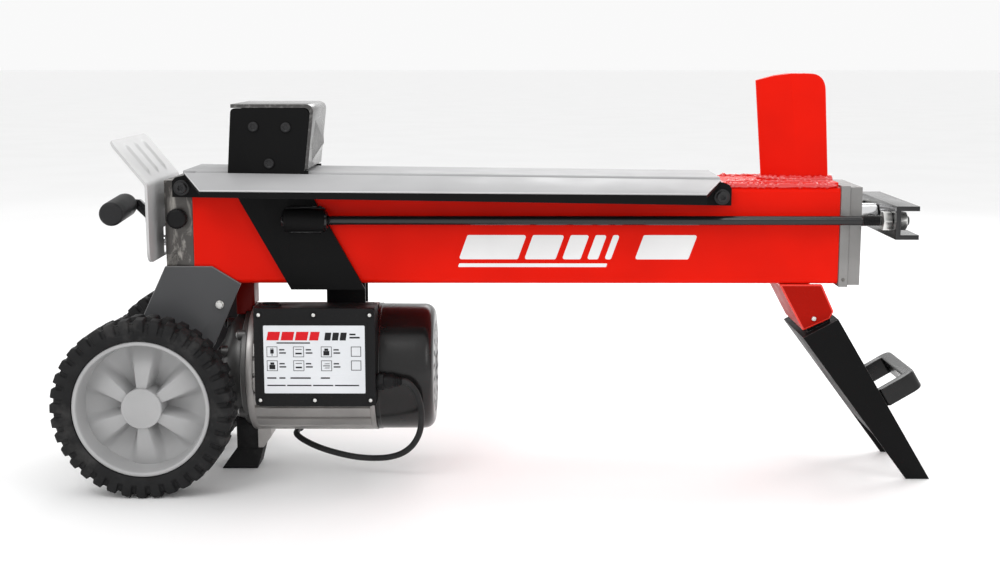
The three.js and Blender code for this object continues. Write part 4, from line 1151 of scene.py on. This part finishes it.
def build_label():
    """Rating plate: film with a frame of plain blocks, pictogram frames and bars in place of words."""
    film = bmesh.new()
    ink = bmesh.new()
    red = bmesh.new()
    x0, z0 = -255.6, 105.4
    width, height = 107.9, 73.6
    prism(film, rounded(rectangle(x0, x0 + width, z0, z0 + height), 1.2, 4), "y", -98.62, -98.3)

    def bar(target, u, v, w, h, lean=0.0):
        """u, v, w and h in thousandths of the label's width, from its top left corner."""
        k = width / 1000
        left, top = x0 + u * k, z0 + height - v * k
        outline = [(left, top - h * k), (left + w * k, top - h * k),
                   (left + (w + lean) * k, top), (left + lean * k, top)]
        prism(target, outline, "y", -98.78, -98.55)

    def frame_box(u, v, w, h, line=5):
        bar(ink, u, v, w, line)
        bar(ink, u, v + h - line, w, line)
        bar(ink, u, v + line, line, h - 2 * line)
        bar(ink, u + w - line, v + line, line, h - 2 * line)

    plug = [(36, 30, 34, 40), (40, 16, 8, 16), (58, 16, 8, 16), (49, 70, 8, 22)]
    steps = [(22, 62, 62, 16), (22, 26, 62, 6)]
    weight = [(34, 20, 38, 22), (24, 44, 58, 44)]
    log = [(20, 50, 66, 8), (30, 30, 46, 6, 14), (30, 72, 46, 6, 14)]
    values = [(124, 26, 52, 13), (124, 58, 66, 13)]
    for u, w in ((30, 120), (170, 120), (310, 120), (450, 90)):
        bar(red, u, 62, w, 86, 18)
    for u, w in ((600, 60), (676, 60), (752, 60)):
        bar(ink, u, 70, w, 78, 12)
    bar(ink, 850, 80, 60, 16)
    bar(ink, 850, 112, 100, 16)
    bar(ink, 130, 168, 330, 12)
    for k, icon in enumerate((plug, steps, weight, weight, steps, log)):
        u, v = (30, 292, 566)[k % 3], (210, 350)[k // 3]
        frame_box(u, v, 106, 106)
        for right, down, *size in icon + values:
            bar(ink, u + right, v + down, *size)
    frame_box(862, 210, 100, 100, 6)
    frame_box(862, 350, 100, 100, 6)
    for u, w in ((150, 60), (260, 200), (560, 90), (30, 90)):
        bar(ink, u, 520, w, 14)
    bar(film, 660, 498, 300, 50)
    for u, w in ((30, 180), (226, 240), (482, 200), (698, 240)):
        bar(ink, u, 596, w, 12)
    piece("rating_film", film, LABEL_FILM, slot="black_plastic", angle=40)
    piece("rating_ink", ink, LABEL_INK, slot="black_plastic", angle=40)
    piece("rating_red", red, LABEL_RED, slot="black_plastic", angle=40)


build_switch_box()
build_label()


# ---- leg ----
# the leg stub takes the darker red: painted shade under the beam
refined("leg_stub", RED_STUB_PAINTED_SHADE, bevel=2.0, segments=4)
refined("leg", BLACK, bevel=1.2)
refined("carry_handle", HANDLE_PLASTIC, bevel=5.4, segments=6, angle=40)


# one screw on each side holds the leg in its stub
fasteners("stub_screws", cross_screw, [(338.6, 49.3, 178)], (0, 1, 0), (2.9, 1.7), ZINC, slot="bright_steel")


# ---- floor and light ----
def build_stage():
    """A pale floor, an even white surround and soft lamps round the machine."""
    mesh = bpy.data.meshes.new("floor")
    size = 40
    mesh.from_pydata([(-size, -size, 0), (size, -size, 0), (size, size, 0), (-size, size, 0)], [], [(0, 1, 2, 3)])
    floor = bpy.data.objects.new("floor", mesh)
    scene.collection.objects.link(floor)
    m = Nodes("pale_floor")
    m.color(m.blend(m.spread(m.noise(3, 2), 0.4, 0.6), (0.93, 0.93, 0.93), (0.945, 0.945, 0.945)))
    m.roughness(m.spread(m.noise(5, 2), 0.3, 0.7, 0.6, 0.7))
    mesh.materials.append(m.material)
    floor.location.z = -0.0004

    world = bpy.data.worlds.new("studio")
    world.use_nodes = True
    scene.world = world
    background = world.node_tree.nodes["Background"]
    background.inputs["Color"].default_value = (1.0, 1.0, 1.0, 1)
    background.inputs["Strength"].default_value = 0.95

    for name, place, target, width, height, power in (
            ("key", (-1.1, -1.7, 2.2), (0, 0, 0.2), 1.2, 0.9, 16),
            ("fill", (1.9, -1.6, 1.3), (0.1, 0, 0.2), 0.9, 1.1, 7),
            ("top", (0.1, 0.4, 2.4), (0, 0, 0.2), 1.6, 0.9, 9),
            ("back", (0.4, 2.2, 1.5), (0, 0, 0.2), 1.2, 0.8, 12),
            ("rim", (1.5, 1.3, 1.3), (0.4, 0, 0.15), 0.8, 0.6, 9)):
        data = bpy.data.lights.new(name, "AREA")
        data.shape = "RECTANGLE"
        data.size = width
        data.size_y = height
        data.energy = power
        light = bpy.data.objects.new(name, data)
        scene.collection.objects.link(light)
        light.location = place
        light.rotation_euler = (Vector(target) - Vector(place)).to_track_quat("-Z", "Y").to_euler()


build_stage()

for node_name, node_object in frame["nodes"].items():
    if not node_object.hide_render:
        node_object.data.materials.clear()
        node_object.data.materials.append(FINISH[SLOT_OF[node_name]])
